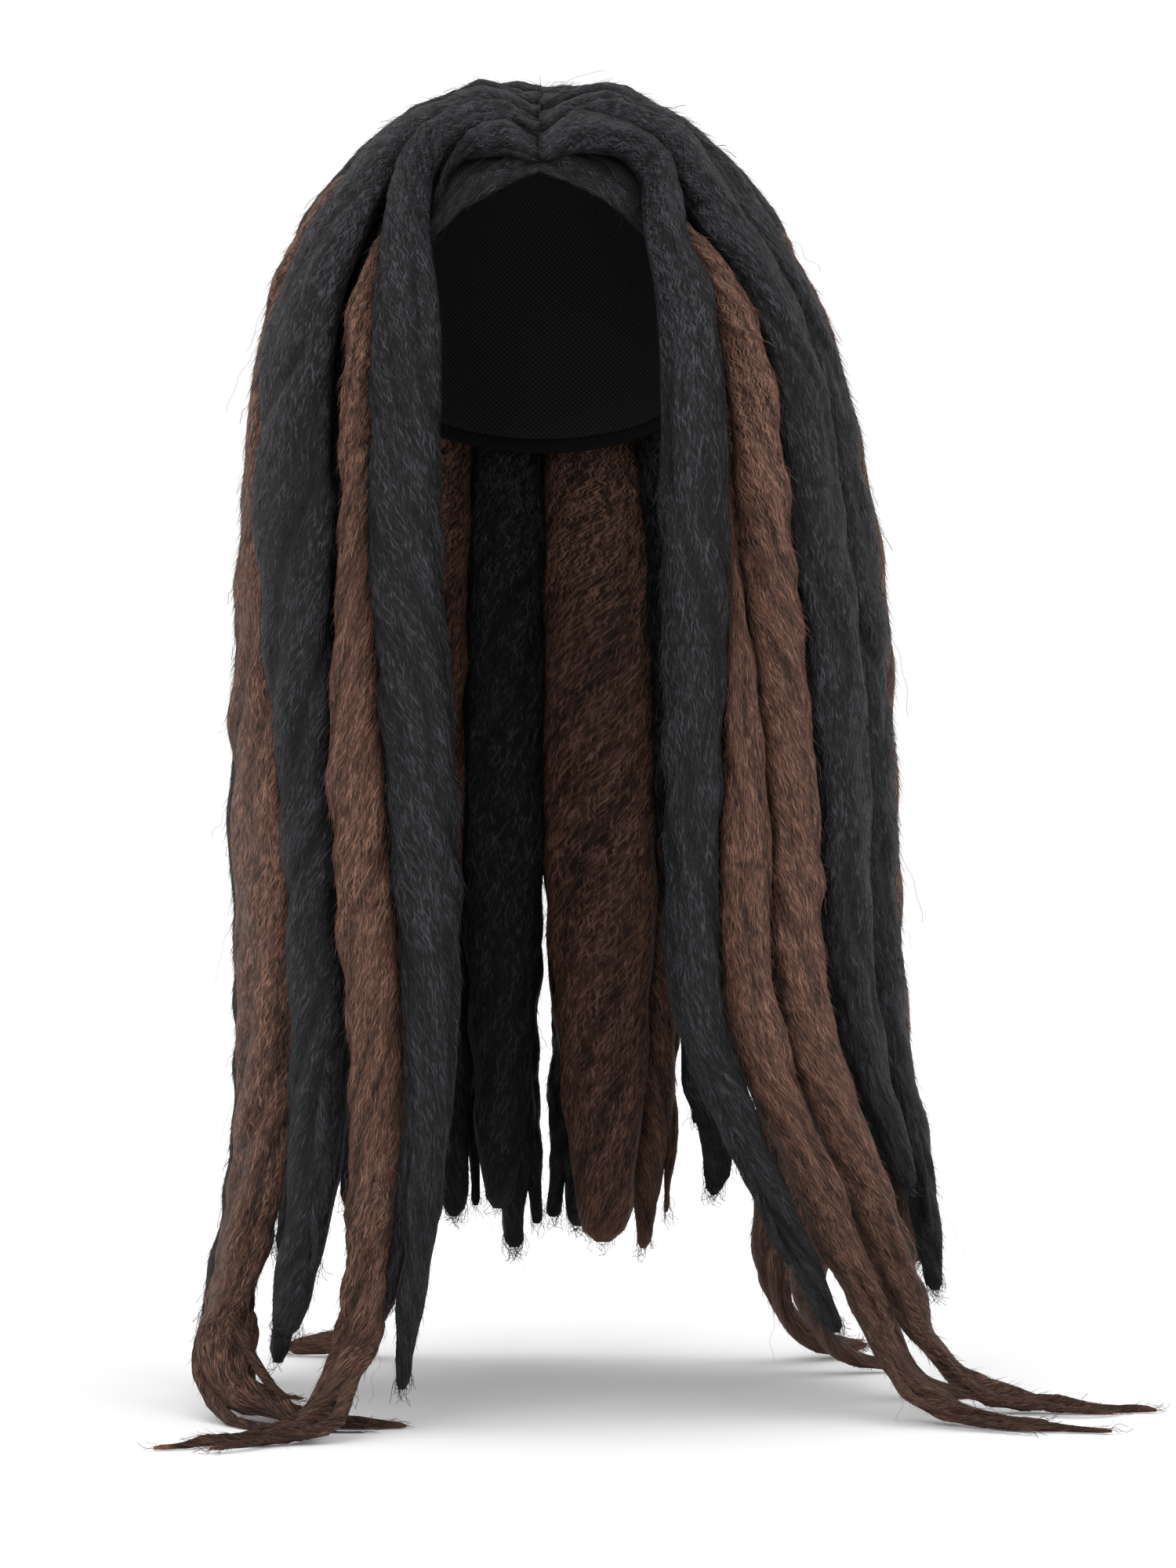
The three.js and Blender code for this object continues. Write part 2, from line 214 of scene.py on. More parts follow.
@dataclass(frozen=True)
class FibreFinish:
    """Crimped fibre laid along a lock: fine matt strands that cling together in bundles."""

    dye: Dye
    recess: tuple[float, float, float, float]
    body: tuple[float, float, float, float]
    light: tuple[float, float, float, float]
    loose: tuple[float, float, float, float]
    worn: tuple[float, float, float, float]
    roughness: float = 0.62
    specular: float = 0.18
    strand_width: float = 0.6 * MM
    clump_width: float = 2.4 * MM
    strand_stretch: float = 0.095
    strand_slope: float = 0.18
    crimp_pitch: float = 4.0 * MM
    crimp_swing: float = 0.12 * MM
    crown_swing: float = 0.75 * MM
    mean_radius: float = 11 * MM
    drift_scale: float = 75.0
    drift_slope: float = 60.0
    drift_phase: float = 12.0
    drift_turn: float = 0.035
    crossing: float = 0.05
    strand_middle: float = 0.56
    contrast: float = 1.5
    crown_contrast: float = 2.4
    # painted shade: more contrast on the lying tails, for the shadows of their twisted rope
    tail_contrast: float = 1.2
    level: float = 0.52
    crown_level: float = 0.07
    # painted shade: the lying tails are darkened, for the shadows of their twisted rope
    tail_level: float = -0.07
    clump_level: float = 0.14
    # painted shade: how far the colour is darkened in the grooves between strand bundles
    groove_level: float = -0.24
    # painted shade: how far the colour is darkened near other locks and on the hairline strands
    crevice_level: float = -0.4

    def _lay(self, bench: NodeBench, slope: float, crown: bpy.types.NodeSocket) -> bpy.types.NodeSocket:
        """Where a point lies in the fibre.

        Args:
            bench: the bench of the material.
            slope: how far these strands lean from the lock's own.
            crown: how strongly the strands are crimped.

        Returns:
            The point on a tube of the mean radius, stretched so that noise follows the strands.
        """
        uv = bench.out("ShaderNodeUVMap", uv_map="fibre")
        parts = bench.add("ShaderNodeSeparateXYZ", {"Vector": uv}).outputs
        place = bench.out("ShaderNodeTexCoord", name="Object")
        feeds = {"Vector": place, "Scale": self.drift_scale + self.drift_slope * slope, "Detail": 2.0}
        drift = bench.out("ShaderNodeTexNoise", feeds, "Fac")
        round_length = 2 * math.pi * self.mean_radius
        uneven = bench.math("MULTIPLY", drift, self.drift_phase)
        phase = bench.math("MULTIPLY_ADD", parts["Y"], 2 * math.pi / self.crimp_pitch, uneven)
        most, least = self.crown_swing / round_length, self.crimp_swing / round_length
        swing = bench.math("MULTIPLY_ADD", crown, most, least)
        crimp = bench.math("MULTIPLY", bench.math("SINE", phase), swing)
        lean = bench.math("MULTIPLY_ADD", parts["Y"], slope / round_length, crimp)
        wander = bench.math("MULTIPLY_ADD", drift, self.drift_turn, lean)
        turn = bench.math("MULTIPLY", bench.math("ADD", parts["X"], wander), 2 * math.pi)
        return bench.out(
            "ShaderNodeCombineXYZ",
            {
                "X": bench.math("MULTIPLY", bench.math("COSINE", turn), self.mean_radius),
                "Y": bench.math("MULTIPLY", bench.math("SINE", turn), self.mean_radius),
                "Z": bench.math("MULTIPLY", parts["Y"], self.strand_stretch),
            },
        )

    def lock_material(self) -> bpy.types.Material:
        """The finish of a lock's body: fine crossing strands, crimped near the parting.

        Returns:
            The material.
        """
        material, bench, shader = new_material(f"{self.dye.value}_lock")

        def mask(name: str) -> bpy.types.NodeSocket:
            """One of the lock's masks."""
            return bench.out("ShaderNodeAttribute", name="Fac", attribute_name=name)

        def streaks(tube: bpy.types.NodeSocket, width: float, detail: float) -> bpy.types.NodeSocket:
            """Streaks of a width along the strands."""
            feeds = {"Vector": tube, "Scale": 1 / width, "Detail": detail, "Roughness": 0.65}
            return bench.out("ShaderNodeTexNoise", feeds, "Fac")

        crown = mask("crown")
        right = self._lay(bench, self.strand_slope, crown)
        left = self._lay(bench, -self.strand_slope, crown)
        layers = [streaks(tube, self.strand_width, 2.0) for tube in (right, left)]
        strands = bench.math("SMOOTH_MAX", *layers, self.crossing)
        clumps = streaks(left, self.clump_width, 1.0)
        spread = bench.math("MULTIPLY_ADD", crown, self.crown_contrast, self.contrast)
        # painted shade: more contrast on the lying tails, for the shadows of their twisted rope
        spread = bench.math("MULTIPLY_ADD", mask("tail"), self.tail_contrast, spread)
        level = bench.math("MULTIPLY_ADD", crown, self.crown_level, self.level)
        # painted shade: the lying tails are darker, for the shadows of their twisted rope
        level = bench.math("MULTIPLY_ADD", mask("tail"), self.tail_level, level)
        tone = bench.math("MULTIPLY_ADD", bench.math("SUBTRACT", strands, self.strand_middle), spread, level)
        tone = bench.math("MULTIPLY_ADD", bench.math("SUBTRACT", clumps, 0.5), self.clump_level, tone)
        # painted shade: the grooves between the strand bundles are darkened in the colour
        tone = bench.math("MULTIPLY_ADD", mask("groove"), self.groove_level, tone)
        # painted shade: the colour is darkened near other locks and on the hairline strands under the front
        # locks
        tone = bench.math("MULTIPLY_ADD", mask("crevice"), self.crevice_level, tone)
        # the recess colour is the dark end of the ramp, reached by the darkest strands and by the painted
        # shade of grooves and crevices
        colour = ramp(bench, tone, [(0.28, self.recess), (0.5, self.body), (0.72, self.light)])
        feeds = {"Factor": mask("worn"), "A": colour, "B": self.worn}
        colour = bench.out("ShaderNodeMix", feeds, "Result", data_type="RGBA")
        feeds = {"Strength": 1.0, "Distance": 0.9 * MM, "Height": strands}
        fine = bench.out("ShaderNodeBump", feeds, "Normal")
        feeds = {"Strength": 0.7, "Distance": 1.2 * MM, "Height": clumps, "Normal": fine}
        coarse = bench.out("ShaderNodeBump", feeds, "Normal")
        self._shade(bench, shader, colour)
        bench.tree.links.new(coarse, shader.inputs["Normal"])
        return material

    def loose_material(self) -> bpy.types.Material:
        """The finish of the loose fibres, each with its own tone.

        Returns:
            The material.
        """
        material, bench, shader = new_material(f"{self.dye.value}_loose")
        tint = bench.out("ShaderNodeAttribute", name="Fac", attribute_name="tint")
        self._shade(bench, shader, ramp(bench, tint, [(0.0, self.body), (1.0, self.loose)]))
        return material

    def _shade(self, bench: NodeBench, shader: bpy.types.Node, colour: bpy.types.NodeSocket) -> None:
        """Joins the colour to the shader and sets its matt gloss.

        Args:
            bench: the bench of the material.
            shader: its Principled shader.
            colour: the colour output.
        """
        bench.tree.links.new(colour, shader.inputs["Base Color"])
        shader.inputs["Roughness"].default_value = self.roughness
        shader.inputs["Specular IOR Level"].default_value = self.specular


FIBRES = {
    Dye.BLACK: FibreFinish(
        Dye.BLACK,
        recess=linear(3, 3, 4),
        body=linear(14, 14, 16),
        light=linear(57, 57, 62),
        loose=linear(48, 48, 52),
        worn=linear(30, 29, 30),
    ),
    Dye.BROWN: FibreFinish(
        Dye.BROWN,
        recess=linear(26, 17, 13),
        body=linear(75, 50, 40),
        light=linear(123, 91, 76),
        loose=linear(106, 77, 63),
        worn=linear(208, 148, 118),
    ),
}


@dataclass(frozen=True)
class NetFinish:
    """A fine woven net or elastic, dark and matt."""

    name: str
    dark: tuple[float, float, float, float]
    light: tuple[float, float, float, float]
    thread: float
    roughness: float = 0.8
    specular: float = 0.2
    mean_radius: float = 80 * MM

    def material(self) -> bpy.types.Material:
        """Threads crossing at right angles, as waves on the piece's own place in the part.

        Returns:
            The material.
        """
        material, bench, shader = new_material(self.name)
        place = bench.out("ShaderNodeTexCoord", name="Object")
        parts = bench.add("ShaderNodeSeparateXYZ", {"Vector": place}).outputs
        turn = bench.math("ARCTAN2", parts["X"], parts["Y"])
        turns = self.mean_radius * 2 * math.pi / self.thread
        across = bench.math("SINE", bench.math("MULTIPLY", turn, turns))
        down = bench.math("SINE", bench.math("MULTIPLY", parts["Z"], 2 * math.pi / self.thread))
        weave = bench.math("MULTIPLY_ADD", bench.math("MULTIPLY", across, down), 0.5, 0.5)
        colour = ramp(bench, weave, [(0.2, self.dark), (0.8, self.light)])
        bench.tree.links.new(colour, shader.inputs["Base Color"])
        feeds = {"Strength": 0.6, "Distance": 0.4 * MM, "Height": weave}
        bump = bench.out("ShaderNodeBump", feeds, "Normal")
        bench.tree.links.new(bump, shader.inputs["Normal"])
        shader.inputs["Roughness"].default_value = self.roughness
        shader.inputs["Specular IOR Level"].default_value = self.specular
        return material


@dataclass
class LockSections:
    """The sections of a lock as the frame holds it, from its root to its tip.

    Each row is a section's centre, half its width and half its thickness, nine numbers in metres.
    """

    rows: np.ndarray

    @classmethod
    def of_node(cls, node: bpy.types.Object) -> "LockSections":
        """Reads the sections from a lock's mesh, a tube closed by a point at each end.

        Args:
            node: the lock's object in the frame.

        Returns:
            The sections in order, with the two end points as the first and the last.
        """
        mesh = bmesh.new()
        mesh.from_mesh(node.data)
        bmesh.ops.remove_doubles(mesh, verts=mesh.verts, dist=0.001 * MM)
        mesh.verts.ensure_lookup_table()
        spots = np.array([vertex.co for vertex in mesh.verts])
        near = [[edge.other_vert(vertex).index for edge in vertex.link_edges] for vertex in mesh.verts]
        mesh.free()
        for root in sorted(range(len(near)), key=lambda index: -spots[index][2]):
            layers = cls._layers(near, root)
            if len(layers[-1]) == 1 and {len(layer) for layer in layers[1:-1]} == {len(near[root])}:
                break
        rings = cls._rings(near, spots, layers[1:-1])
        return cls(cls._rows(rings, spots, root, layers[-1][0]))

    @staticmethod
    def _layers(near: list[list[int]], root: int) -> list[list[int]]:
        """All vertices by their number of edges from one of them.

        Args:
            near: the neighbours of each vertex.
            root: the vertex to start from.

        Returns:
            The vertices in layers, the start alone in the first.
        """
        layers = [[root]]
        seen = {root}
        while True:
            found = []
            for index in layers[-1]:
                fresh = [other for other in near[index] if other not in seen]
                seen.update(fresh)
                found.extend(fresh)
            if not found:
                return layers
            layers.append(found)

    @staticmethod
    def _rings(near: list[list[int]], spots: np.ndarray, layers: list[list[int]]) -> list[list[int]]:
        """The vertices of each section, in the same turn and each lined up with the one before.

        Args:
            near: the neighbours of each vertex.
            spots: the vertices' places.
            layers: the vertices of each section, in no order.

        Returns:
            A ring of vertices for each section.
        """
        middles = [spots[layer].mean(axis=0) for layer in layers]
        rings: list[list[int]] = []
        for place, layer in enumerate(layers):
            members = set(layer)
            ring = [layer[0]]
            while len(ring) < len(layer):
                ring.append(next(i for i in near[ring[-1]] if i in members and i not in ring))
            ahead = middles[min(place + 1, len(layers) - 1)] - middles[max(place - 1, 0)]
            arms = spots[ring] - middles[place]
            if np.cross(arms, np.roll(arms, -1, axis=0)).sum(axis=0) @ ahead < 0:
                ring.reverse()
            if rings:
                turns = [ring[first:] + ring[:first] for first in range(len(ring))]
                fits = [turn for turn in turns if all(b in near[a] for a, b in zip(rings[-1], turn))]
                before = spots[rings[-1]]
                ring = min(fits, key=lambda turn: np.linalg.norm(spots[turn] - before, axis=1).sum())
            rings.append(ring)
        return rings

    @staticmethod
    def _rows(rings: list[list[int]], spots: np.ndarray, root: int, tip: int) -> np.ndarray:
        """The nine numbers of each section, its thickness pointing away from the middle of the wig.

        Args:
            rings: the vertices of each section.
            spots: the vertices' places.
            root: the end vertex at the root.
            tip: the end vertex at the tip.

        Returns:
            A row for the root, each section and the tip.
        """
        count = len(rings[0])
        quarter = count // 4
        corners = spots[np.array(rings)]
        middles = corners.mean(axis=1)
        hub = middles * np.array([0, 0, 1])
        hub[:, 2] = np.minimum(hub[:, 2], CAP_MIDDLE)
        outward = middles - hub
        faces = [((corners[:, (c + quarter) % count] - middles) * outward).sum() for c in range(count)]
        start = int(np.argmax(faces))
        edge, back = corners[:, start], corners[:, (start + 2 * quarter) % count]
        centre = (edge + back) / 2
        rows = np.hstack([centre, (edge - back) / 2, corners[:, (start + quarter) % count] - centre])
        first = np.concatenate([spots[root], rows[0, 3:]])
        last = np.concatenate([spots[tip], rows[-1, 3:]])
        return np.vstack([first, rows, last])

    def marks(self) -> np.ndarray:
        """How far along the lock each section lies, in metres."""
        steps = np.linalg.norm(np.diff(self.rows[:, :3], axis=0), axis=1)
        return np.concatenate([[0.0], np.cumsum(steps)])

    def at(self, distances: np.ndarray) -> np.ndarray:
        """The sections at distances along the lock, on a smooth curve through the known ones.

        Args:
            distances: metres from the root.

        Returns:
            A row of nine numbers for each distance.
        """
        marks = self.marks()
        slopes = np.gradient(self.rows, marks, axis=0)
        low = np.clip(np.searchsorted(marks, distances) - 1, 0, len(marks) - 2)
        span = (marks[low + 1] - marks[low])[:, None]
        t = ((distances - marks[low])[:, None]) / span
        start, end = self.rows[low], self.rows[low + 1]
        return (
            start * (1 + 2 * t) * (1 - t) ** 2
            + slopes[low] * span * t * (1 - t) ** 2
            + end * t**2 * (3 - 2 * t)
            + slopes[low + 1] * span * t**2 * (t - 1)
        )


def waves(rng: np.random.Generator, across: float, along: float, count: int) -> np.ndarray:
    """Random waves over a lock's surface, for smooth lumps.

    Args:
        rng: the source of the draws.
        across: how many waves go round the lock at most.
        along: the shortest wave along the lock, in metres.
        count: how many waves.

    Returns:
        A row for each wave: turns round the lock, turns per metre and phase.
    """
    rounds = rng.integers(-int(across), int(across) + 1, count)
    pitches = 2 * math.pi / (along * rng.uniform(1.0, 3.0, count))
    return np.stack([rounds, pitches, rng.uniform(0, 2 * math.pi, count)], axis=1)


def relief(table: np.ndarray, turns: np.ndarray, distances: np.ndarray) -> np.ndarray:
    """The height of a sum of waves, about -1 to 1, over a grid of angles and distances."""
    total = sum(np.cos(r * turns + p * distances + phase) for r, p, phase in table)
    return total / math.sqrt(len(table))


@dataclass
class Neighbours:
    """Measures how far a place is from the solids of all locks but one."""

    trees: dict[str, BVHTree] = field(default_factory=dict)

    def _tree(self, node: str) -> BVHTree:
        """The faces of every lock but this one.

        Args:
            node: the lock that is left out.

        Returns:
            A tree that finds the nearest face.
        """
        spots: list[Vector] = []
        faces: list[list[int]] = []
        for name, other in frame["nodes"].items():
            if "_lock_" in name and name != node:
                start = len(spots)
                spots += [vertex.co.copy() for vertex in other.data.vertices]
                faces += [[start + corner for corner in polygon.vertices] for polygon in other.data.polygons]
        return BVHTree.FromPolygons(spots, faces)

    def distance(self, node: str, place: np.ndarray) -> float:
        """Metres from a place to the nearest lock that isn't this one.

        Args:
            node: the lock that the place belongs to.
            place: the place.

        Returns:
            The distance.
        """
        if node not in self.trees:
            self.trees[node] = self._tree(node)
        return self.trees[node].find_nearest(Vector(place))[3]


OTHERS = Neighbours()


@dataclass(frozen=True)
class Split:
    """A thin strand that leaves a lock near its tip."""

    start: float
    end: float
    side: int
    width: float
    drift: float
    count: int = 14
    reach: float = 0.55
    rise: float = 0.25
    taper: float = 0.45
    flatness: float = 0.85

    def sections(self, lock: LockSections) -> LockSections:
        """The strand's own sections.

        Args:
            lock: the sections of the lock that it leaves.

        Returns:
            The strand's sections, from where it leaves to its tip.
        """
        share = np.linspace(0, 1, self.count)
        rows = lock.at(self.start + share * (self.end - self.start))
        across, up = rows[:, 3:6].copy(), rows[:, 6:9].copy()
        beside, above = unit(across), unit(up)
        spread = self.reach * np.linalg.norm(across, axis=1) + share**1.5 * self.drift
        rows[:, :3] += beside * (self.side * spread)[:, None] + up * self.rise
        thinned = (self.width * (1 - self.taper * share))[:, None]
        rows[:, 3:6] = beside * thinned
        rows[:, 6:9] = above * thinned * self.flatness
        return LockSections(rows)


@dataclass(frozen=True)
class Hairline:
    """A flat strand that covers the cap's edge over its front opening, on one side."""

    side: int
    end_height: float
    count: int = 12
    straightness: float = 0.85
    straight_from: float = 0.8
    hub_height: float = -95 * MM
    lowest: float = -115 * MM
    overlap: float = 6 * MM
    nearness: float = 5 * MM
    lift: float = 2.8 * MM
    half_width: float = 7.5 * MM
    half_thickness: float = 1.5 * MM
    taper: float = 0.5
    # painted shade on the hairline strand, which lies in shadow under the front locks
    shade: float = 0.32

    @property
    def _hub(self) -> np.ndarray:
        """The middle of the cap's hollow, which the strand goes round."""
        return np.array([0, 0, self.hub_height])

    def sections(self) -> LockSections:
        """Lays the strand over the cap's edge, partly on the shortest way over the opening.

        Returns:
            Its sections, from the parting to its end.
        """
        edge = np.array([vertex.co for vertex in frame["nodes"]["edge_binding"].data.vertices])
        near = (edge[:, 1] < 0) & (edge[:, 0] * self.side > -self.overlap) & (edge[:, 2] > self.lowest)
        edge = edge[near]
        first = self._middle(edge, edge[:, 0]) * np.array([0, 1, 1])
        last = self._middle(edge, edge[:, 2] - self.end_height)
        share = np.linspace(0, 1, self.count)
        places = np.array([self._place(edge, first, last, t) for t in share])
        along = np.gradient(places, axis=0)
        away = unit(places - self._hub)
        across = unit(np.cross(along, away))
        size = 1 - self.taper * share[:, None] ** 2
        spots = places + away * self.lift
        wide = across * self.half_width * size
        thick = away * self.half_thickness * size
        return LockSections(np.hstack([spots, wide, thick]))

    def _middle(self, edge: np.ndarray, offset: np.ndarray) -> np.ndarray:
        """The middle of the binding where an offset is about nought."""
        weight = np.exp(-((offset / self.nearness) ** 2))
        return (edge * weight[:, None]).sum(axis=0) / weight.sum()

    def _place(self, edge: np.ndarray, first: np.ndarray, last: np.ndarray, share: float) -> np.ndarray:
        """A place between the binding and the shortest way over the front opening.

        Args:
            edge: the binding's points on this side.
            first: where the strand starts.
            last: where it ends.
            share: how far along it the place is, from 0 to 1.

        Returns:
            The place.
        """
        arms = [place - self._hub for place in (first, last)]
        arm = arms[0] * (1 - share) + arms[1] * share
        reach = np.linalg.norm(arms[0]) * (1 - share) + np.linalg.norm(arms[1]) * share
        short = self._hub + unit(arm) * reach
        beside = self._middle(edge, edge[:, 0] - short[0]) if share < self.straight_from else short
        return short * self.straightness + beside * (1 - self.straightness)


HAIRLINES = {
    "outer_lock_right_front": Hairline(side=-1, end_height=-64 * MM),
    "outer_lock_left_front": Hairline(side=1, end_height=-92 * MM),
}


def join(objects: list[bpy.types.Object]) -> bpy.types.Object:
    """Joins mesh objects into the first of them and returns it.

    Args:
        objects: the objects, at least one.

    Returns:
        The first of them, which now holds all.
    """
    if len(objects) > 1:
        chosen = {"selected_objects": objects, "selected_editable_objects": objects}
        with bpy.context.temp_override(active_object=objects[0], object=objects[0], **chosen):
            bpy.ops.object.join()
    return objects[0]


@dataclass
class LockSurface:
    """The surface of a lock, as sections by sides, with what its mesh and finish need."""

    points: np.ndarray
    distances: np.ndarray
    twist: np.ndarray
    groove: np.ndarray
    tail: np.ndarray
    lee: np.ndarray


@dataclass
class LockMesh:
    """Turns the surface of a lock into a closed mesh with its fibre map, strand direction and masks."""

    name: str
    surface: LockSurface
    offset: float

    def make(self, masks: dict[str, np.ndarray]) -> bpy.types.Mesh:
        """Makes the mesh.

        Args:
            masks: a value for each point of the surface, by the attribute's name.

        Returns:
            The mesh, closed by a fan at each end.
        """
        points = self.surface.points
        rows, sides = points.shape[:2]
        corner = np.arange(sides)
        following = (corner + 1) % sides
        base = (np.arange(rows - 1) * sides)[:, None]
        ring = [base + corner, base + following, base + sides + following, base + sides + corner]
        quads = np.stack(ring, -1).reshape(-1, 4).tolist()
        root, tip, last = rows * sides, rows * sides + 1, (rows - 1) * sides
        fans = [(root, b, a) for a, b in zip(corner, following)]
        fans += [(tip, last + a, last + b) for a, b in zip(corner, following)]
        mesh = bpy.data.meshes.new(self.name)
        mesh.from_pydata(self._with_ends(points).tolist(), [], quads + fans)
        layer = mesh.uv_layers.new(name="fibre")
        layer.data.foreach_set("uv", self._fibre_map().astype(np.float32).ravel())
        mesh.attributes.new("run", "FLOAT_VECTOR", "POINT").data.foreach_set("vector", self._run().ravel())
        for name, mask in masks.items():
            values = np.concatenate([mask.ravel(), mask[[0, -1]].mean(axis=1)])
            mesh.attributes.new(name, "FLOAT", "POINT").data.foreach_set("value", values)
        mesh.polygons.foreach_set("use_smooth", np.ones(len(mesh.polygons), bool))
        mesh.update()
        return mesh

    @staticmethod
    def _with_ends(values: np.ndarray) -> np.ndarray:
        """The vectors of all points in a list, with the means of the first and the last section."""
        return np.vstack([values.reshape(-1, 3), values[0].mean(axis=0), values[-1].mean(axis=0)])

    def _fibre_map(self) -> np.ndarray:
        """The map of each face corner: turns round the lock along the strands, and metres along it.

        Returns:
            Two numbers for each face corner, in the order of the faces.
        """
        rows, sides = self.surface.points.shape[:2]
        corner = np.arange(sides)
        lay = -self.surface.twist / (2 * math.pi)
        where = self.offset + self.surface.distances
        low = np.broadcast_to(corner / sides, (rows - 1, sides))
        high = low + 1 / sides
        before, after = lay[:-1, None], lay[1:, None]
        u = np.stack([low + before, high + before, high + after, low + after], -1)
        v_low = np.broadcast_to(where[:-1, None], (rows - 1, sides))
        v_high = np.broadcast_to(where[1:, None], (rows - 1, sides))
        v = np.stack([v_low, v_low, v_high, v_high], -1)
        ends = []
        for row in (0, rows - 1):
            for c in corner:
                left, middle, right = (c + np.array([0, 0.5, 1])) / sides + lay[row]
                pair = (right, left) if row == 0 else (left, right)
                ends += [(turn, where[row]) for turn in (middle, *pair)]
        return np.vstack([np.stack([u, v], -1).reshape(-1, 2), np.array(ends)])

    def _run(self) -> np.ndarray:
        """The direction of the strands at each point.

        Returns:
            A unit vector for each vertex of the mesh.
        """
        surface = self.surface
        sides = surface.points.shape[1]
        along = np.gradient(surface.points, surface.distances, axis=0)
        ahead, behind = np.roll(surface.points, -1, axis=1), np.roll(surface.points, 1, axis=1)
        around = (ahead - behind) / (4 * math.pi / sides)
        run = along + np.gradient(surface.twist, surface.distances)[:, None, None] * around
        run = self._with_ends(run)
        return run / np.maximum(np.linalg.norm(run, axis=1, keepdims=True), 1e-9)


@dataclass
class Lock:
    """One lock: a soft roll of crimped fibre that follows its solid in the frame.

    The lengths and widths that are drawn from a pair of numbers are in millimetres, all others in metres.
    """

    node: str
    dye: Dye
    index: int
    sides: int = 36
    hidden_sides: int = 20
    strand_sides: int = 14
    crown_step: float = 2.4 * MM
    hanging_step: float = 3.2 * MM
    hidden_coarseness: float = 1.7
    crown_length: float = 150 * MM
    end_gap: float = 0.4 * MM
    fullness: float = 0.8 * MM
    nape_fullness: float = 2.4 * MM
    squareness: float = 0.86
    root_round: float = 5 * MM
    tip_round: float = 2 * MM
    thinnest: float = 0.42
    part_share: float = 0.86
    part_reach: float = 4 * MM
    part_overlap: float = 1.3 * MM
    tip_lengths: tuple[float, float] = (14, 46)
    tip_bluntness: tuple[float, float] = (0.5, 0.95)
    split_starts: tuple[float, float] = (150, 210)
    split_ends: tuple[float, float] = (2, 40)
    split_widths: tuple[float, float] = (2.6, 4.2)
    split_drift: float = 9 * MM
    lying_split_ends: tuple[float, float] = (14, 70)
    lying_split_drift: float = 12 * MM
    lying_split_size: float = 1.3
    tail_length: float = 170 * MM
    tail_taper: float = 150 * MM
    tail_bluntness: float = 0.8
    tail_thinnest: float = 0.2
    tail_fullness: float = 0.22
    tail_fading: float = 70 * MM
    tail_bend: float = 2.6 * MM
    tail_lump: float = 0.16
    tail_twist: float = 1.6
    settling: float = 25 * MM
    pressing: float = 0.85
    slant: float = 0.26
    least_girth: float = 4 * MM
    sway: float = 0.8
    sway_length: float = 90 * MM
    wobble: float = 0.9
    strand_height: float = 0.2
    tail_strand_height: float = 0.3
    lump_height: float = 0.8 * MM
    clump_height: float = 0.4 * MM
    ripple_height: float = 0.25 * MM
    ripple_pitch: float = 9.5 * MM
    # how far from another lock the painted shade between locks reaches
    crevice: float = 4 * MM
    cap_sink: float = 0.3 * MM
    cap_low: float = -165 * MM
    cap_fading: float = 20 * MM
    fray_length: float = 9 * MM
    worn_share: float = 0.12
    worn_node: str = "outer_lock_right_cheek"
    worn_node_share: float = 0.7
    hidden_fibres: float = 0.35
    map_step: float = 1.7

    @property
    def hidden(self) -> bool:
        """Whether the lock lies in the inner layer."""
        return self.node.startswith("inner")

    @property
    def lies(self) -> bool:
        """Whether the lock ends in a tail on the floor."""
        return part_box(self.node)[0].z < cad_box[0][2] + 0.2 * MM

    @property
    def piece_name(self) -> str:
        """The name of the dressed lock, such as left_cheek_lock."""
        _, _, side, name = self.node.split("_")
        return f"{side}_{name}_{'underlock' if self.hidden else 'lock'}"

    def _distances(self, length: float) -> np.ndarray:
        """Where the sections of the fine mesh lie: close on the crown and further apart below.

        Args:
            length: the lock's length.

        Returns:
            Metres from the root, just short of both ends.
        """
        coarse = self.hidden_coarseness if self.hidden else 1.0
        found = [self.end_gap]
        while found[-1] < length - self.end_gap:
            step = self.crown_step if found[-1] < self.crown_length else self.hanging_step
            found.append(found[-1] + step * coarse)
        return np.array(found) * (length - self.end_gap) / found[-1]

    def _size(self, sections: LockSections, distances: np.ndarray, rng: np.random.Generator) -> np.ndarray:
        """How full the lock is along its length, against its sections.

        Args:
            sections: the lock in the frame.
            distances: metres from the root.
            rng: the source of the lock's own draws.

        Returns:
            A share for each distance: less at the root, and thinned or blunt at the tip.
        """
        left = sections.marks()[-1] - distances
        rise = np.clip(distances / self.root_round, 0, 1)
        least = self.part_share if abs(sections.rows[0, 0]) < self.part_reach else 0.0
        root = least + (1 - least) * np.sqrt(1 - (1 - rise) ** 2)
        tip_length, bluntness = rng.uniform(*self.tip_lengths) * MM, rng.uniform(*self.tip_bluntness)
        thinnest = self.thinnest
        if self.lies:
            tip_length, bluntness, thinnest = self.tail_taper, self.tail_bluntness, self.tail_thinnest
        fall = np.clip(left / tip_length, 0, 1)
        close = np.clip(left / self.tip_round, 0, 1) ** 0.5
        return root * (thinnest + (1 - thinnest) * fall**bluntness) * close

    def _settle(self, rows: np.ndarray, size: np.ndarray) -> None:
        """Makes a lying tail as thick as it is wide and lays it on the floor, in place.

        Args:
            rows: the lock's sections, which are changed.
            size: how full the lock is at each of them.
        """
        if not self.lies:
            return
        floor = cad_box[0][2]
        width = np.linalg.norm(rows[:, 3:6], axis=1)
        depth = np.linalg.norm(rows[:, 6:9], axis=1)
        near = np.clip(1 - (rows[:, 2] - floor) / self.settling, 0, 1)
        thinner = 1 - near * (1 - np.minimum(1, 1.1 * width / depth))
        rows[:, 6:9] *= thinner[:, None]
        lying = floor + depth * thinner * size * self.pressing
        settled = np.minimum(rows[:, 2], near * lying + (1 - near) * rows[:, 2])
        rows[:, 2] = np.where(near > 0, settled, rows[:, 2])

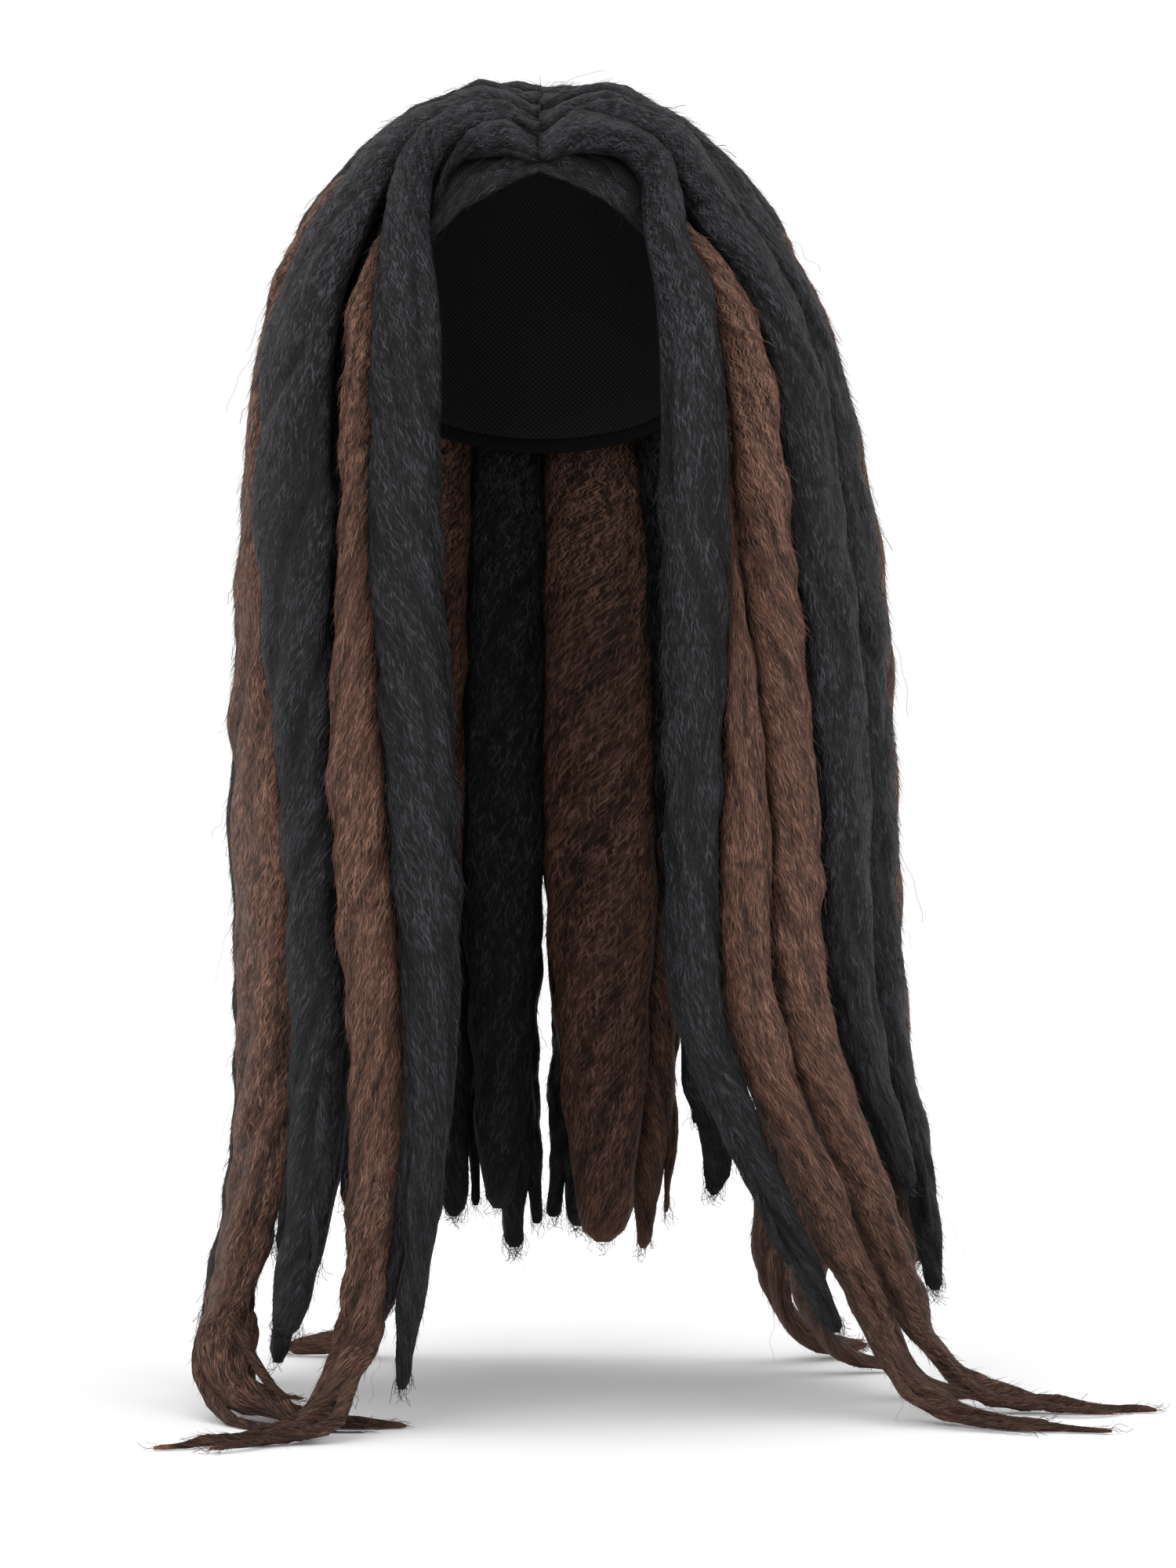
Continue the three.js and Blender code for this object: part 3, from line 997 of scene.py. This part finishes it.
    def _outline(self, rows: np.ndarray, turns: np.ndarray) -> tuple[np.ndarray, np.ndarray]:
        """The soft oblong outline of each section.

        Args:
            rows: the lock's sections.
            turns: the angle of each point round its section.

        Returns:
            Each point's arm from the middle of its section, and the direction straight out of the surface.
        """
        across, up = rows[:, None, 3:6], rows[:, None, 6:9]
        beside = np.sign(np.cos(turns)) * np.abs(np.cos(turns)) ** self.squareness
        above = np.sign(np.sin(turns)) * np.abs(np.sin(turns)) ** self.squareness
        outward = beside[..., None] * across + above[..., None] * up
        away = np.cos(turns)[..., None] * across / np.linalg.norm(across, axis=2, keepdims=True) ** 2
        away = away + np.sin(turns)[..., None] * up / np.linalg.norm(up, axis=2, keepdims=True) ** 2
        return outward, unit(away)

    def _twist(
        self, distances: np.ndarray, left: np.ndarray, girth: np.ndarray, rng: np.random.Generator
    ) -> np.ndarray:
        """How far the strands have turned round the lock.

        Args:
            distances: metres from the root.
            left: metres to the tip.
            girth: the lock's mean radius at each distance.
            rng: the source of the lock's own draws.

        Returns:
            The angle at each distance.
        """
        tight = 1 + self.lies * self.tail_twist * np.clip(1 - left / self.tail_taper, 0, 1)
        rate = self.slant * rng.uniform(0.5, 1.3) * tight / np.maximum(girth, self.least_girth)
        twist = rng.choice([-1, 1]) * np.cumsum(rate * np.gradient(distances))
        return twist + self.sway * np.sin(distances / self.sway_length + rng.uniform(0, 2 * math.pi))

    def _surface(self, sections: LockSections, rng: np.random.Generator, sides: int) -> LockSurface:
        """The lock's surface with its strands, lumps, bundles and ripples.

        Args:
            sections: the lock in the frame, or a strand of it.
            rng: the source of the lock's own draws.
            sides: how many points go round it.

        Returns:
            The surface.
        """
        length = sections.marks()[-1]
        distances = self._distances(length)
        left = length - distances
        rows = sections.at(distances)
        turns, run = np.meshgrid(np.arange(sides) / sides * 2 * math.pi, distances)

        tail = self.lies * np.clip(1.2 - left / self.tail_length, 0, 1)[:, None]
        fuller = self.tail_fullness * tail * np.clip(left / self.tail_fading, 0, 1)[:, None]
        size = self._size(sections, distances, rng)[:, None] * (1 + fuller)
        bends = relief(waves(rng, 0, 34 * MM, 5), 0 * distances, distances) * self.tail_bend * tail[:, 0]
        rows[:, :3] += bends[:, None] * unit(rows[:, 3:6])
        self._settle(rows, size[:, 0])
        outward, away = self._outline(rows, turns)

        width, depth = (np.linalg.norm(rows[:, part], axis=1) for part in (slice(3, 6), slice(6, 9)))
        girth = (width + depth)[:, None] / 2 * size
        twist = self._twist(distances, left, girth[:, 0], rng)
        laid = turns - twist[:, None]
        count = rng.integers(3, 6)
        wobble = self.wobble * relief(waves(rng, 1, 60 * MM, 4), turns, run)
        depth = np.clip(0.65 + 0.5 * relief(waves(rng, 2, 70 * MM, 4), laid, run), 0.15, 1)
        strands = np.abs(np.cos(count / 2 * laid + wobble)) ** 0.6
        crown = np.clip(1.2 - run / self.crown_length, 0, 1)
        ripples = np.cos(run * 2 * math.pi / self.ripple_pitch + 2 * wobble) * self.ripple_height * crown
        lumps = relief(waves(rng, 2, 26 * MM, 7), turns, run) * self.lump_height
        lumps = lumps + relief(waves(rng, 1, 11 * MM, 6), turns, run) * self.tail_lump * girth * tail
        clumps = relief(waves(rng, 7, 70 * MM, 12), laid, run) * self.clump_height
        fullness = self.nape_fullness if "nape" in self.node else self.fullness
        bundles = (strands - 0.7) * depth * (self.strand_height + self.tail_strand_height * tail) * girth
        height = fullness + lumps + clumps + ripples + bundles

        bare = rows[:, None, :3] + outward * size[..., None]
        lee = self._toward_cap(bare, away)
        height = height * np.sqrt(size) * (1 - lee) - self.cap_sink * lee
        points = bare + away * height[..., None]
        points[..., 2] = np.maximum(points[..., 2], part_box(self.node)[0].z)
        return LockSurface(points, distances, twist, (1 - strands) ** 1.5 * depth, tail, lee)

    def _toward_cap(self, bare: np.ndarray, away: np.ndarray) -> np.ndarray:
        """How far each point lies beside the cap and faces it, where relief and fibres end.

        Args:
            bare: the points without any relief.
            away: the direction straight out of the surface at each.

        Returns:
            A share for each point, from 0 to 1.
        """
        hub = bare * np.array([0, 0, 1])
        hub[..., 2] = np.minimum(hub[..., 2], CAP_MIDDLE)
        inward = np.clip(0.3 - 2 * (away * unit(bare - hub)).sum(axis=2), 0, 1)
        return inward * np.clip((bare[..., 2] - self.cap_low) / self.cap_fading, 0, 1)

    def _crevice(self, points: np.ndarray) -> np.ndarray:
        """How near each point lies to another lock's solid, from 0 to 1, which the finish turns into painted
        shade between locks.
        """
        gaps = [OTHERS.distance(self.node, spot) for spot in points.reshape(-1, 3)]
        return np.clip(1.1 - np.array(gaps).reshape(points.shape[:2]) / self.crevice, 0, 1)

    def _splits(self, sections: LockSections, rng: np.random.Generator) -> list[LockSections]:
        """The thin strands that leave a long outer lock near its tip.

        Args:
            sections: the lock in the frame.
            rng: the source of the lock's own draws.

        Returns:
            The sections of each strand.
        """
        length = sections.marks()[-1]
        if self.hidden or length < self.crown_length:
            return []
        count = 2 if self.lies else rng.integers(1, 3)
        ends, drift, size = self.split_ends, self.split_drift, 1
        if self.lies:
            ends, drift, size = self.lying_split_ends, self.lying_split_drift, self.lying_split_size
        found = []
        for side in rng.permutation([-1, 1])[:count]:
            start = length - rng.uniform(*self.split_starts) * MM
            end = length - rng.uniform(*ends) * MM
            width = rng.uniform(*self.split_widths) * MM * size
            found.append(Split(start, end, side, width, drift * rng.uniform(0.6, 1)).sections(sections))
        return found

    def _masks(self, surface: LockSurface, worn_share: float, shade: float) -> dict[str, np.ndarray]:
        """The masks that the finish and the loose fibres read.

        Args:
            surface: the surface that they lie on.
            worn_share: how far its tip is worn to a paler colour.
            shade: the least painted shade on it.

        Returns:
            A value from 0 to 1 for each point, by the mask's name.
        """
        around = np.ones(surface.points.shape[1])
        left = surface.distances[-1] - surface.distances
        worn = np.clip(1 - left / self.fray_length, 0, 1) * worn_share
        return {
            "crown": np.clip(1.2 - surface.distances / self.crown_length, 0, 1)[:, None] * around,
            "fray": (left < self.fray_length)[:, None] * around,
            "worn": worn[:, None] * around,
            "groove": surface.groove,
            "tail": surface.tail * around,
            # painted shade: nearness to other locks, and at least the hairline strand's own shade, darkens
            # the colour
            "crevice": np.maximum(self._crevice(surface.points), shade),
            "all_over": np.where(surface.lee > 0, 0.0, 1.0),
        }

    def _strand(
        self,
        sections: LockSections,
        rng: np.random.Generator,
        sides: int,
        finishes: "Finishes",
        worn_share: float,
        shade: float = 0.0,
    ) -> bpy.types.Object:
        """Makes the lock's own body or one of its strands.

        Args:
            sections: its sections.
            rng: the source of the lock's own draws.
            sides: how many points go round it.
            finishes: the materials.
            worn_share: how far its tip is worn.
            shade: the least painted shade on it.

        Returns:
            Its object.
        """
        surface = self._surface(sections, rng, sides)
        masks = self._masks(surface, worn_share, shade)
        mesh = LockMesh(self.piece_name, surface, self.index * self.map_step).make(masks)
        mesh.materials.append(finishes.lock[self.dye])
        return add_object(self.piece_name, mesh)

    def build(self, finishes: "Finishes", fuzz: "LooseFibres") -> bpy.types.Object:
        """Makes the lock with its loose fibres and puts it in place of its solid.

        Args:
            finishes: the materials.
            fuzz: the maker of loose fibres.

        Returns:
            The finished piece.
        """
        rng = np.random.default_rng(SEED + self.index)
        sections = LockSections.of_node(frame["nodes"][self.node])
        if abs(sections.rows[0, 0]) < self.part_reach:
            sections.rows[0, 0] -= math.copysign(self.part_overlap, sections.rows[0, 0])
        splits = self._splits(sections, rng)
        sides = self.hidden_sides if self.hidden else self.sides
        worn_share = self.worn_node_share if self.node == self.worn_node else self.worn_share
        strands = [self._strand(sections, rng, sides, finishes, worn_share)]
        hairline = HAIRLINES.get(self.node)
        if hairline:
            flat, shade = hairline.sections(), hairline.shade
            strands.append(self._strand(flat, rng, self.strand_sides, finishes, self.worn_share, shade))
        for split in splits:
            strands.append(self._strand(split, rng, self.strand_sides, finishes, self.worn_share))
        piece = join(strands)
        share = self.hidden_fibres if self.hidden else 1.0
        fuzz.grow(piece, finishes.loose[self.dye], share, self.index)
        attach(piece, BODY)
        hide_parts(self.node)
        return piece


@dataclass(frozen=True)
class FibreCut:
    """One kind of loose fibre: how many, how long and how far each stands off."""

    name: str
    density: float
    length: float
    radius: float
    swing: float
    pitch: float
    lift: float
    points: int
    where: str = "all_over"


CUTS = (
    FibreCut("fringe", density=64000, length=6 * MM, radius=0.12 * MM, swing=0.0, pitch=6 * MM,
             lift=0.28, points=2),
    FibreCut("curl", density=3000, length=9 * MM, radius=0.11 * MM, swing=0.8 * MM, pitch=6.5 * MM,
             lift=0.3, points=5),
    FibreCut("flyaway", density=300, length=30 * MM, radius=0.055 * MM, swing=1.5 * MM, pitch=12 * MM,
             lift=0.38, points=12),
    FibreCut("frayed", density=200000, length=8 * MM, radius=0.11 * MM, swing=1.1 * MM, pitch=7 * MM,
             lift=0.42, points=5, where="fray"),
)


FIBRE_INPUTS = {
    "Lock": "Geometry",
    "Density": "Float",
    "Length": "Float",
    "Radius": "Float",
    "Swing": "Float",
    "Pitch": "Float",
    "Lift": "Float",
    "Points": "Int",
    "Seed": "Int",
    "Where": "String",
    "Floor": "Float",
    "Material": "Material",
}
SALTS = {"pitch": 11, "yaw": 12, "roll": 13, "size": 14, "tint": 15}


@dataclass
class LooseFibres:
    """Crimped fibres that lie on a lock or stand off it, made by one Geometry Nodes tree."""

    least_pitch: float = 0.1
    most_pitch: float = 1.6
    least_size: float = 0.55
    most_size: float = 1.25
    yaw: float = 0.45
    roll: float = 0.9
    droop: float = 0.7

    def __post_init__(self) -> None:
        """Builds the tree."""
        self.tree = bpy.data.node_groups.new("loose_fibres", "GeometryNodeTree")
        face = self.tree.interface
        for name, kind in FIBRE_INPUTS.items():
            face.new_socket(name, in_out="INPUT", socket_type=f"NodeSocket{kind}")
        face.new_socket("Fibres", in_out="OUTPUT", socket_type="NodeSocketGeometry")
        self._wire(NodeBench(self.tree))

    def _wire(self, bench: NodeBench) -> None:
        """Places fibres on the surface along the strands, each tilted and sized at random.

        Args:
            bench: the bench of the tree.
        """
        given = bench.add("NodeGroupInput").outputs
        fibre = self._fibre(bench, given)
        place = self._attribute(bench, given["Where"], "FLOAT")
        roots = bench.add(
            "GeometryNodeDistributePointsOnFaces",
            {
                "Mesh": given["Lock"],
                "Density": bench.math("MULTIPLY", given["Density"], place),
                "Seed": given["Seed"],
            },
        ).outputs
        run = self._attribute(bench, "run", "FLOAT_VECTOR")
        lying = bench.out(
            "FunctionNodeAxesToRotation",
            {"Primary Axis": roots["Normal"], "Secondary Axis": run},
            primary_axis="Z",
            secondary_axis="X",
        )
        seed = given["Seed"]
        lift = bench.math("MULTIPLY", given["Lift"], -1.0)
        low, high = (bench.math("MULTIPLY", lift, share) for share in (self.most_pitch, self.least_pitch))
        pitch = self._draw(bench, "pitch", low, high, seed)
        yaw = self._draw(bench, "yaw", -self.yaw, self.yaw, seed)
        roll = self._draw(bench, "roll", -self.roll, self.roll, seed)
        euler = bench.out("ShaderNodeCombineXYZ", {"X": roll, "Y": pitch, "Z": yaw})
        tilt = bench.out("FunctionNodeEulerToRotation", {"Euler": euler})
        turned = bench.out(
            "FunctionNodeRotateRotation", {"Rotation": lying, "Rotate By": tilt}, rotation_space="LOCAL"
        )
        size = self._draw(bench, "size", self.least_size, self.most_size, seed)
        placed = bench.out(
            "GeometryNodeInstanceOnPoints",
            {"Points": roots["Points"], "Instance": fibre, "Rotation": turned, "Scale": size},
        )
        tint = self._draw(bench, "tint", 0.0, 1.0, seed)
        toned = bench.out(
            "GeometryNodeStoreNamedAttribute",
            {"Geometry": placed, "Name": "tint", "Value": tint},
            data_type="FLOAT",
            domain="INSTANCE",
        )
        real = bench.out("GeometryNodeRealizeInstances", {"Geometry": toned})
        parts = bench.add("ShaderNodeSeparateXYZ", {"Vector": bench.out("GeometryNodeInputPosition")}).outputs
        height = bench.math("MAXIMUM", parts["Z"], given["Floor"])
        above = bench.out("ShaderNodeCombineXYZ", {"X": parts["X"], "Y": parts["Y"], "Z": height})
        laid = bench.out("GeometryNodeSetPosition", {"Geometry": real, "Position": above})
        dressed = bench.out("GeometryNodeSetMaterial", {"Geometry": laid, "Material": given["Material"]})
        bench.add("NodeGroupOutput", {"Fibres": dressed})

    @staticmethod
    def _attribute(bench: NodeBench, name: object, kind: str) -> bpy.types.NodeSocket:
        """The values of one of the lock's named attributes."""
        return bench.out("GeometryNodeInputNamedAttribute", {"Name": name}, "Attribute", data_type=kind)

    def _draw(
        self, bench: NodeBench, what: str, low: object, high: object, seed: bpy.types.NodeSocket
    ) -> bpy.types.NodeSocket:
        """A random number for each fibre.

        Args:
            bench: the bench of the tree.
            what: what is drawn, which sets its draws apart from the others.
            low: the least value.
            high: the most.
            seed: the tree's own seed.

        Returns:
            The number.
        """
        salted = bench.math("ADD", seed, float(SALTS[what]))
        return bench.out("FunctionNodeRandomValue", {"Min": low, "Max": high, "Seed": salted}, "Value")

    def _fibre(self, bench: NodeBench, given: bpy.types.NodeOutputs) -> bpy.types.NodeSocket:
        """One fibre along +X: a crimped tube that sinks toward its end, or a spike if it has two points.

        Args:
            bench: the bench of the tree.
            given: the tree's inputs.

        Returns:
            The fibre's mesh.
        """
        end = bench.out("ShaderNodeCombineXYZ", {"X": given["Length"]})
        line = bench.out("GeometryNodeCurvePrimitiveLine", {"Start": (0, 0, 0), "End": end}, "Curve")
        dotted = bench.out("GeometryNodeResampleCurve", {"Curve": line, "Count": given["Points"]})
        spot = bench.out("GeometryNodeInputPosition")
        x = bench.add("ShaderNodeSeparateXYZ", {"Vector": spot}).outputs["X"]
        phase = bench.math("MULTIPLY", bench.math("DIVIDE", x, given["Pitch"]), 2 * math.pi)
        side = bench.math("MULTIPLY", bench.math("SINE", phase), given["Swing"])
        share = bench.math("DIVIDE", x, given["Length"])
        droop = bench.math("MULTIPLY", bench.math("MULTIPLY", share, share), given["Length"])
        fall = bench.math("MULTIPLY", bench.math("MULTIPLY", droop, given["Lift"]), -self.droop)
        shift = bench.out("ShaderNodeCombineXYZ", {"Y": side, "Z": fall})
        bent = bench.out("GeometryNodeSetPosition", {"Geometry": dotted, "Offset": shift})
        feeds = {"Resolution": 3, "Radius": given["Radius"]}
        ring = bench.out("GeometryNodeCurvePrimitiveCircle", feeds, "Curve")
        tube = bench.out("GeometryNodeCurveToMesh", {"Curve": bent, "Profile Curve": ring, "Fill Caps": True})
        feeds = {"A": given["Points"], "B": 2}
        short = bench.out("FunctionNodeCompare", feeds, data_type="INT", operation="LESS_EQUAL")
        feeds = {"Vertices": 3, "Radius Top": 0.0, "Radius Bottom": given["Radius"], "Depth": given["Length"]}
        cone = bench.out("GeometryNodeMeshCone", feeds, "Mesh")
        spike = bench.out("GeometryNodeTransform", {"Geometry": cone, "Rotation": (0, math.pi / 2, 0)})
        feeds = {"Switch": short, "False": tube, "True": spike}
        return bench.out("GeometryNodeSwitch", feeds, input_type="GEOMETRY")

    def grow(self, lock: bpy.types.Object, material: bpy.types.Material, share: float, seed: int) -> None:
        """Grows each kind of fibre on a lock and joins them to it as plain mesh.

        Args:
            lock: the lock's object.
            material: the fibres' finish.
            share: how many fibres there are, against the full number.
            seed: what sets this lock's draws apart.
        """
        grown = [self._mesh(lock, cut, material, share, seed * 20 + order) for order, cut in enumerate(CUTS)]
        join([lock, *(add_object("fibres", mesh) for mesh in grown)])

    def _mesh(
        self, lock: bpy.types.Object, cut: FibreCut, material: bpy.types.Material, share: float, seed: int
    ) -> bpy.types.Mesh:
        """The fibres of one cut on a lock.

        Args:
            lock: the lock's object.
            cut: the kind of fibre.
            material: the fibres' finish.
            share: how many fibres there are, against the full number.
            seed: what sets these draws apart.

        Returns:
            A mesh of the fibres alone.
        """
        values = {name.title(): value for name, value in vars(cut).items()}
        values["Density"] *= share
        values |= {"Seed": seed, "Floor": cad_box[0].z, "Material": material}
        modifier = lock.modifiers.new("loose_fibres", "NODES")
        modifier.node_group = self.tree
        for socket in self.tree.interface.items_tree:
            if socket.in_out == "INPUT" and socket.name in values:
                modifier[socket.identifier] = values[socket.name]
        lock.update_tag()
        bpy.context.view_layer.update()
        evaluated = lock.evaluated_get(bpy.context.evaluated_depsgraph_get())
        mesh = bpy.data.meshes.new_from_object(evaluated)
        lock.modifiers.remove(modifier)
        return mesh


class Finishes:
    """The materials of the wig."""

    def __init__(self) -> None:
        """Makes them all once."""
        self.lock = {dye: finish.lock_material() for dye, finish in FIBRES.items()}
        self.loose = {dye: finish.loose_material() for dye, finish in FIBRES.items()}
        self.net = NetFinish("cap_net", linear(12, 12, 13), linear(40, 40, 43), thread=2.2 * MM).material()
        # the binding is black by its own colour, and its colours are set darker still as painted shade along
        # the face opening
        self.binding = NetFinish("binding", linear(8, 8, 9), linear(22, 22, 24), thread=1.1 * MM).material()


@dataclass
class Cap:
    """The net cap and the elastic that binds its edge."""

    smoothing: int = 2
    flatness: float = 0.9
    sharp_angle: float = math.radians(50)
    rim_crease: float = 0.9
    seating: float = 0.9 * MM

    def _seat(self, shell: bmesh.types.BMesh) -> None:
        """Moves the binding up to the cap's edge, so that no light shows between them.

        Args:
            shell: the binding, which is changed.
        """
        cap = frame["nodes"]["cap"].data
        corners = [vertex.co for vertex in cap.vertices]
        tree = BVHTree.FromPolygons(corners, [polygon.vertices for polygon in cap.polygons])
        for vertex in shell.verts:
            toward = tree.find_nearest(vertex.co)[0] - vertex.co
            vertex.co += toward.normalized() * self.seating

    def _smooth_copy(self, node: str, name: str, material: bpy.types.Material) -> bpy.types.Object:
        """A smooth copy of a faceted solid, in its place.

        Args:
            node: the solid's name.
            name: the new piece's name.
            material: its finish.

        Returns:
            The finished piece.
        """
        shell = bmesh.new()
        shell.from_mesh(frame["nodes"][node].data)
        bmesh.ops.remove_doubles(shell, verts=shell.verts, dist=0.01 * MM)
        limits = {"angle_face_threshold": self.flatness, "angle_shape_threshold": self.flatness}
        bmesh.ops.join_triangles(shell, faces=shell.faces, **limits)
        if node == "edge_binding":
            self._seat(shell)
        crease = shell.edges.layers.float.new("crease_edge")
        for edge in shell.edges:
            if edge.calc_face_angle(0.0) > self.sharp_angle:
                edge[crease] = self.rim_crease
        mesh = bpy.data.meshes.new(name)
        shell.to_mesh(mesh)
        shell.free()
        for polygon in mesh.polygons:
            polygon.use_smooth = True
        mesh.materials.append(material)
        piece = add_object(name, mesh)
        modifier = piece.modifiers.new("smooth", "SUBSURF")
        modifier.levels = self.smoothing
        modifier.render_levels = self.smoothing
        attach(piece, BODY)
        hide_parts(node)
        return piece

    def build(self, finishes: Finishes) -> list[bpy.types.Object]:
        """Makes the cap and its binding."""
        return [
            self._smooth_copy("cap", "net_cap", finishes.net),
            self._smooth_copy("edge_binding", "woven_binding", finishes.binding),
        ]


class Hair:
    """All the locks, in the order of their nodes' names."""

    def build(self, finishes: Finishes, fuzz: LooseFibres) -> list[bpy.types.Object]:
        """Makes every lock.

        Args:
            finishes: the materials.
            fuzz: the maker of loose fibres.

        Returns:
            The finished pieces.
        """
        slots = {part["node"]: part["material_slot"] for part in frame["record"]["subparts"]}
        nodes = sorted(node for node in frame["nodes"] if "_lock_" in node)
        locks = [Lock(node, Dye(slots[node]), index) for index, node in enumerate(nodes)]
        return [lock.build(finishes, fuzz) for lock in locks]


@dataclass
class Studio:
    """The camera, soft light and pale floor."""

    focal: float = 105.9
    sensor: float = 36.0
    camera_place: tuple[float, float, float] = (20.4 * MM, -2.0, -289 * MM)
    floor_radius: float = 6.0
    floor_gap: float = 0.5 * MM
    ambient: float = 1.0
    overhead: float = 0.8
    overhead_width: float = math.radians(120)
    overhead_tilt: float = math.radians(25)
    floor_colour: tuple[float, float, float, float] = (0.93, 0.93, 0.935, 1)
    middle: tuple[float, float, float] = (0.02, 0, -0.28)

    def _camera(self) -> None:
        """A camera level with the middle of the wig, looking straight at it."""
        data = bpy.data.cameras.new("camera")
        data.lens = self.focal
        data.sensor_fit = "VERTICAL"
        data.sensor_height = self.sensor
        data.clip_end = 50
        camera = add_object("camera", data)
        camera.location = self.camera_place
        camera.rotation_euler = (math.pi / 2, 0, 0)
        bpy.context.scene.camera = camera

    def _light(self, name: str, place: tuple[float, float, float], size: float, watts: float) -> None:
        """A soft square lamp that looks at the middle of the wig.

        Args:
            name: the lamp's name.
            place: where it hangs.
            size: its side.
            watts: its power.
        """
        data = bpy.data.lights.new(name, "AREA")
        data.size = size
        data.energy = watts
        lamp = add_object(name, data)
        lamp.location = place
        lamp.rotation_euler = (Vector(self.middle) - Vector(place)).to_track_quat("-Z", "Y").to_euler()

    def _sun(self) -> None:
        """A wide soft light from above, even over the whole floor."""
        data = bpy.data.lights.new("overhead", "SUN")
        data.energy = self.overhead
        data.angle = self.overhead_width
        lamp = add_object("overhead", data)
        lamp.rotation_euler = (self.overhead_tilt, 0, 0)

    def _floor(self, height: float) -> None:
        """A pale floor just under the lowest point of the wig.

        Args:
            height: its height.
        """
        mesh = bpy.data.meshes.new("floor")
        disc = bmesh.new()
        bmesh.ops.create_circle(disc, cap_ends=True, segments=96, radius=self.floor_radius)
        disc.to_mesh(mesh)
        disc.free()
        mesh.transform(Matrix.Translation((0, 0, height)))
        floor = add_object("floor", mesh)
        material, _, shader = new_material("pale_floor")
        shader.inputs["Base Color"].default_value = self.floor_colour
        shader.inputs["Roughness"].default_value = 0.9
        shader.inputs["Specular IOR Level"].default_value = 0.1
        mesh.materials.append(material)

    def build(self) -> None:
        """Sets up the view."""
        scene = bpy.context.scene
        scene.view_settings.view_transform = "Standard"
        world = bpy.data.worlds.new("studio")
        world.use_nodes = True
        sky = world.node_tree.nodes["Background"].inputs
        sky["Color"].default_value = (1, 1, 1, 1)
        sky["Strength"].default_value = self.ambient
        scene.world = world
        self._camera()
        self._light("key", place=(-0.9, -2.2, 0.7), size=1.4, watts=16)
        self._light("fill", place=(1.4, -1.8, 0.1), size=1.2, watts=8)
        self._sun()
        self._floor(cad_box[0][2] - self.floor_gap)


def main() -> None:
    """Builds the wig and its studio and logs the triangles of each piece."""
    logging.basicConfig(level=logging.INFO, format="%(name)s: %(message)s")
    Studio().build()
    finishes = Finishes()
    fuzz = LooseFibres()
    pieces = Cap().build(finishes) + Hair().build(finishes, fuzz)
    total = 0
    for piece in pieces:
        triangles = sum(len(polygon.vertices) - 2 for polygon in piece.data.polygons)
        log.info("%s: %d triangles", piece.name, triangles)
        total += triangles
    log.info("in all: %d triangles", total)


if __name__ == "__main__":
    main()
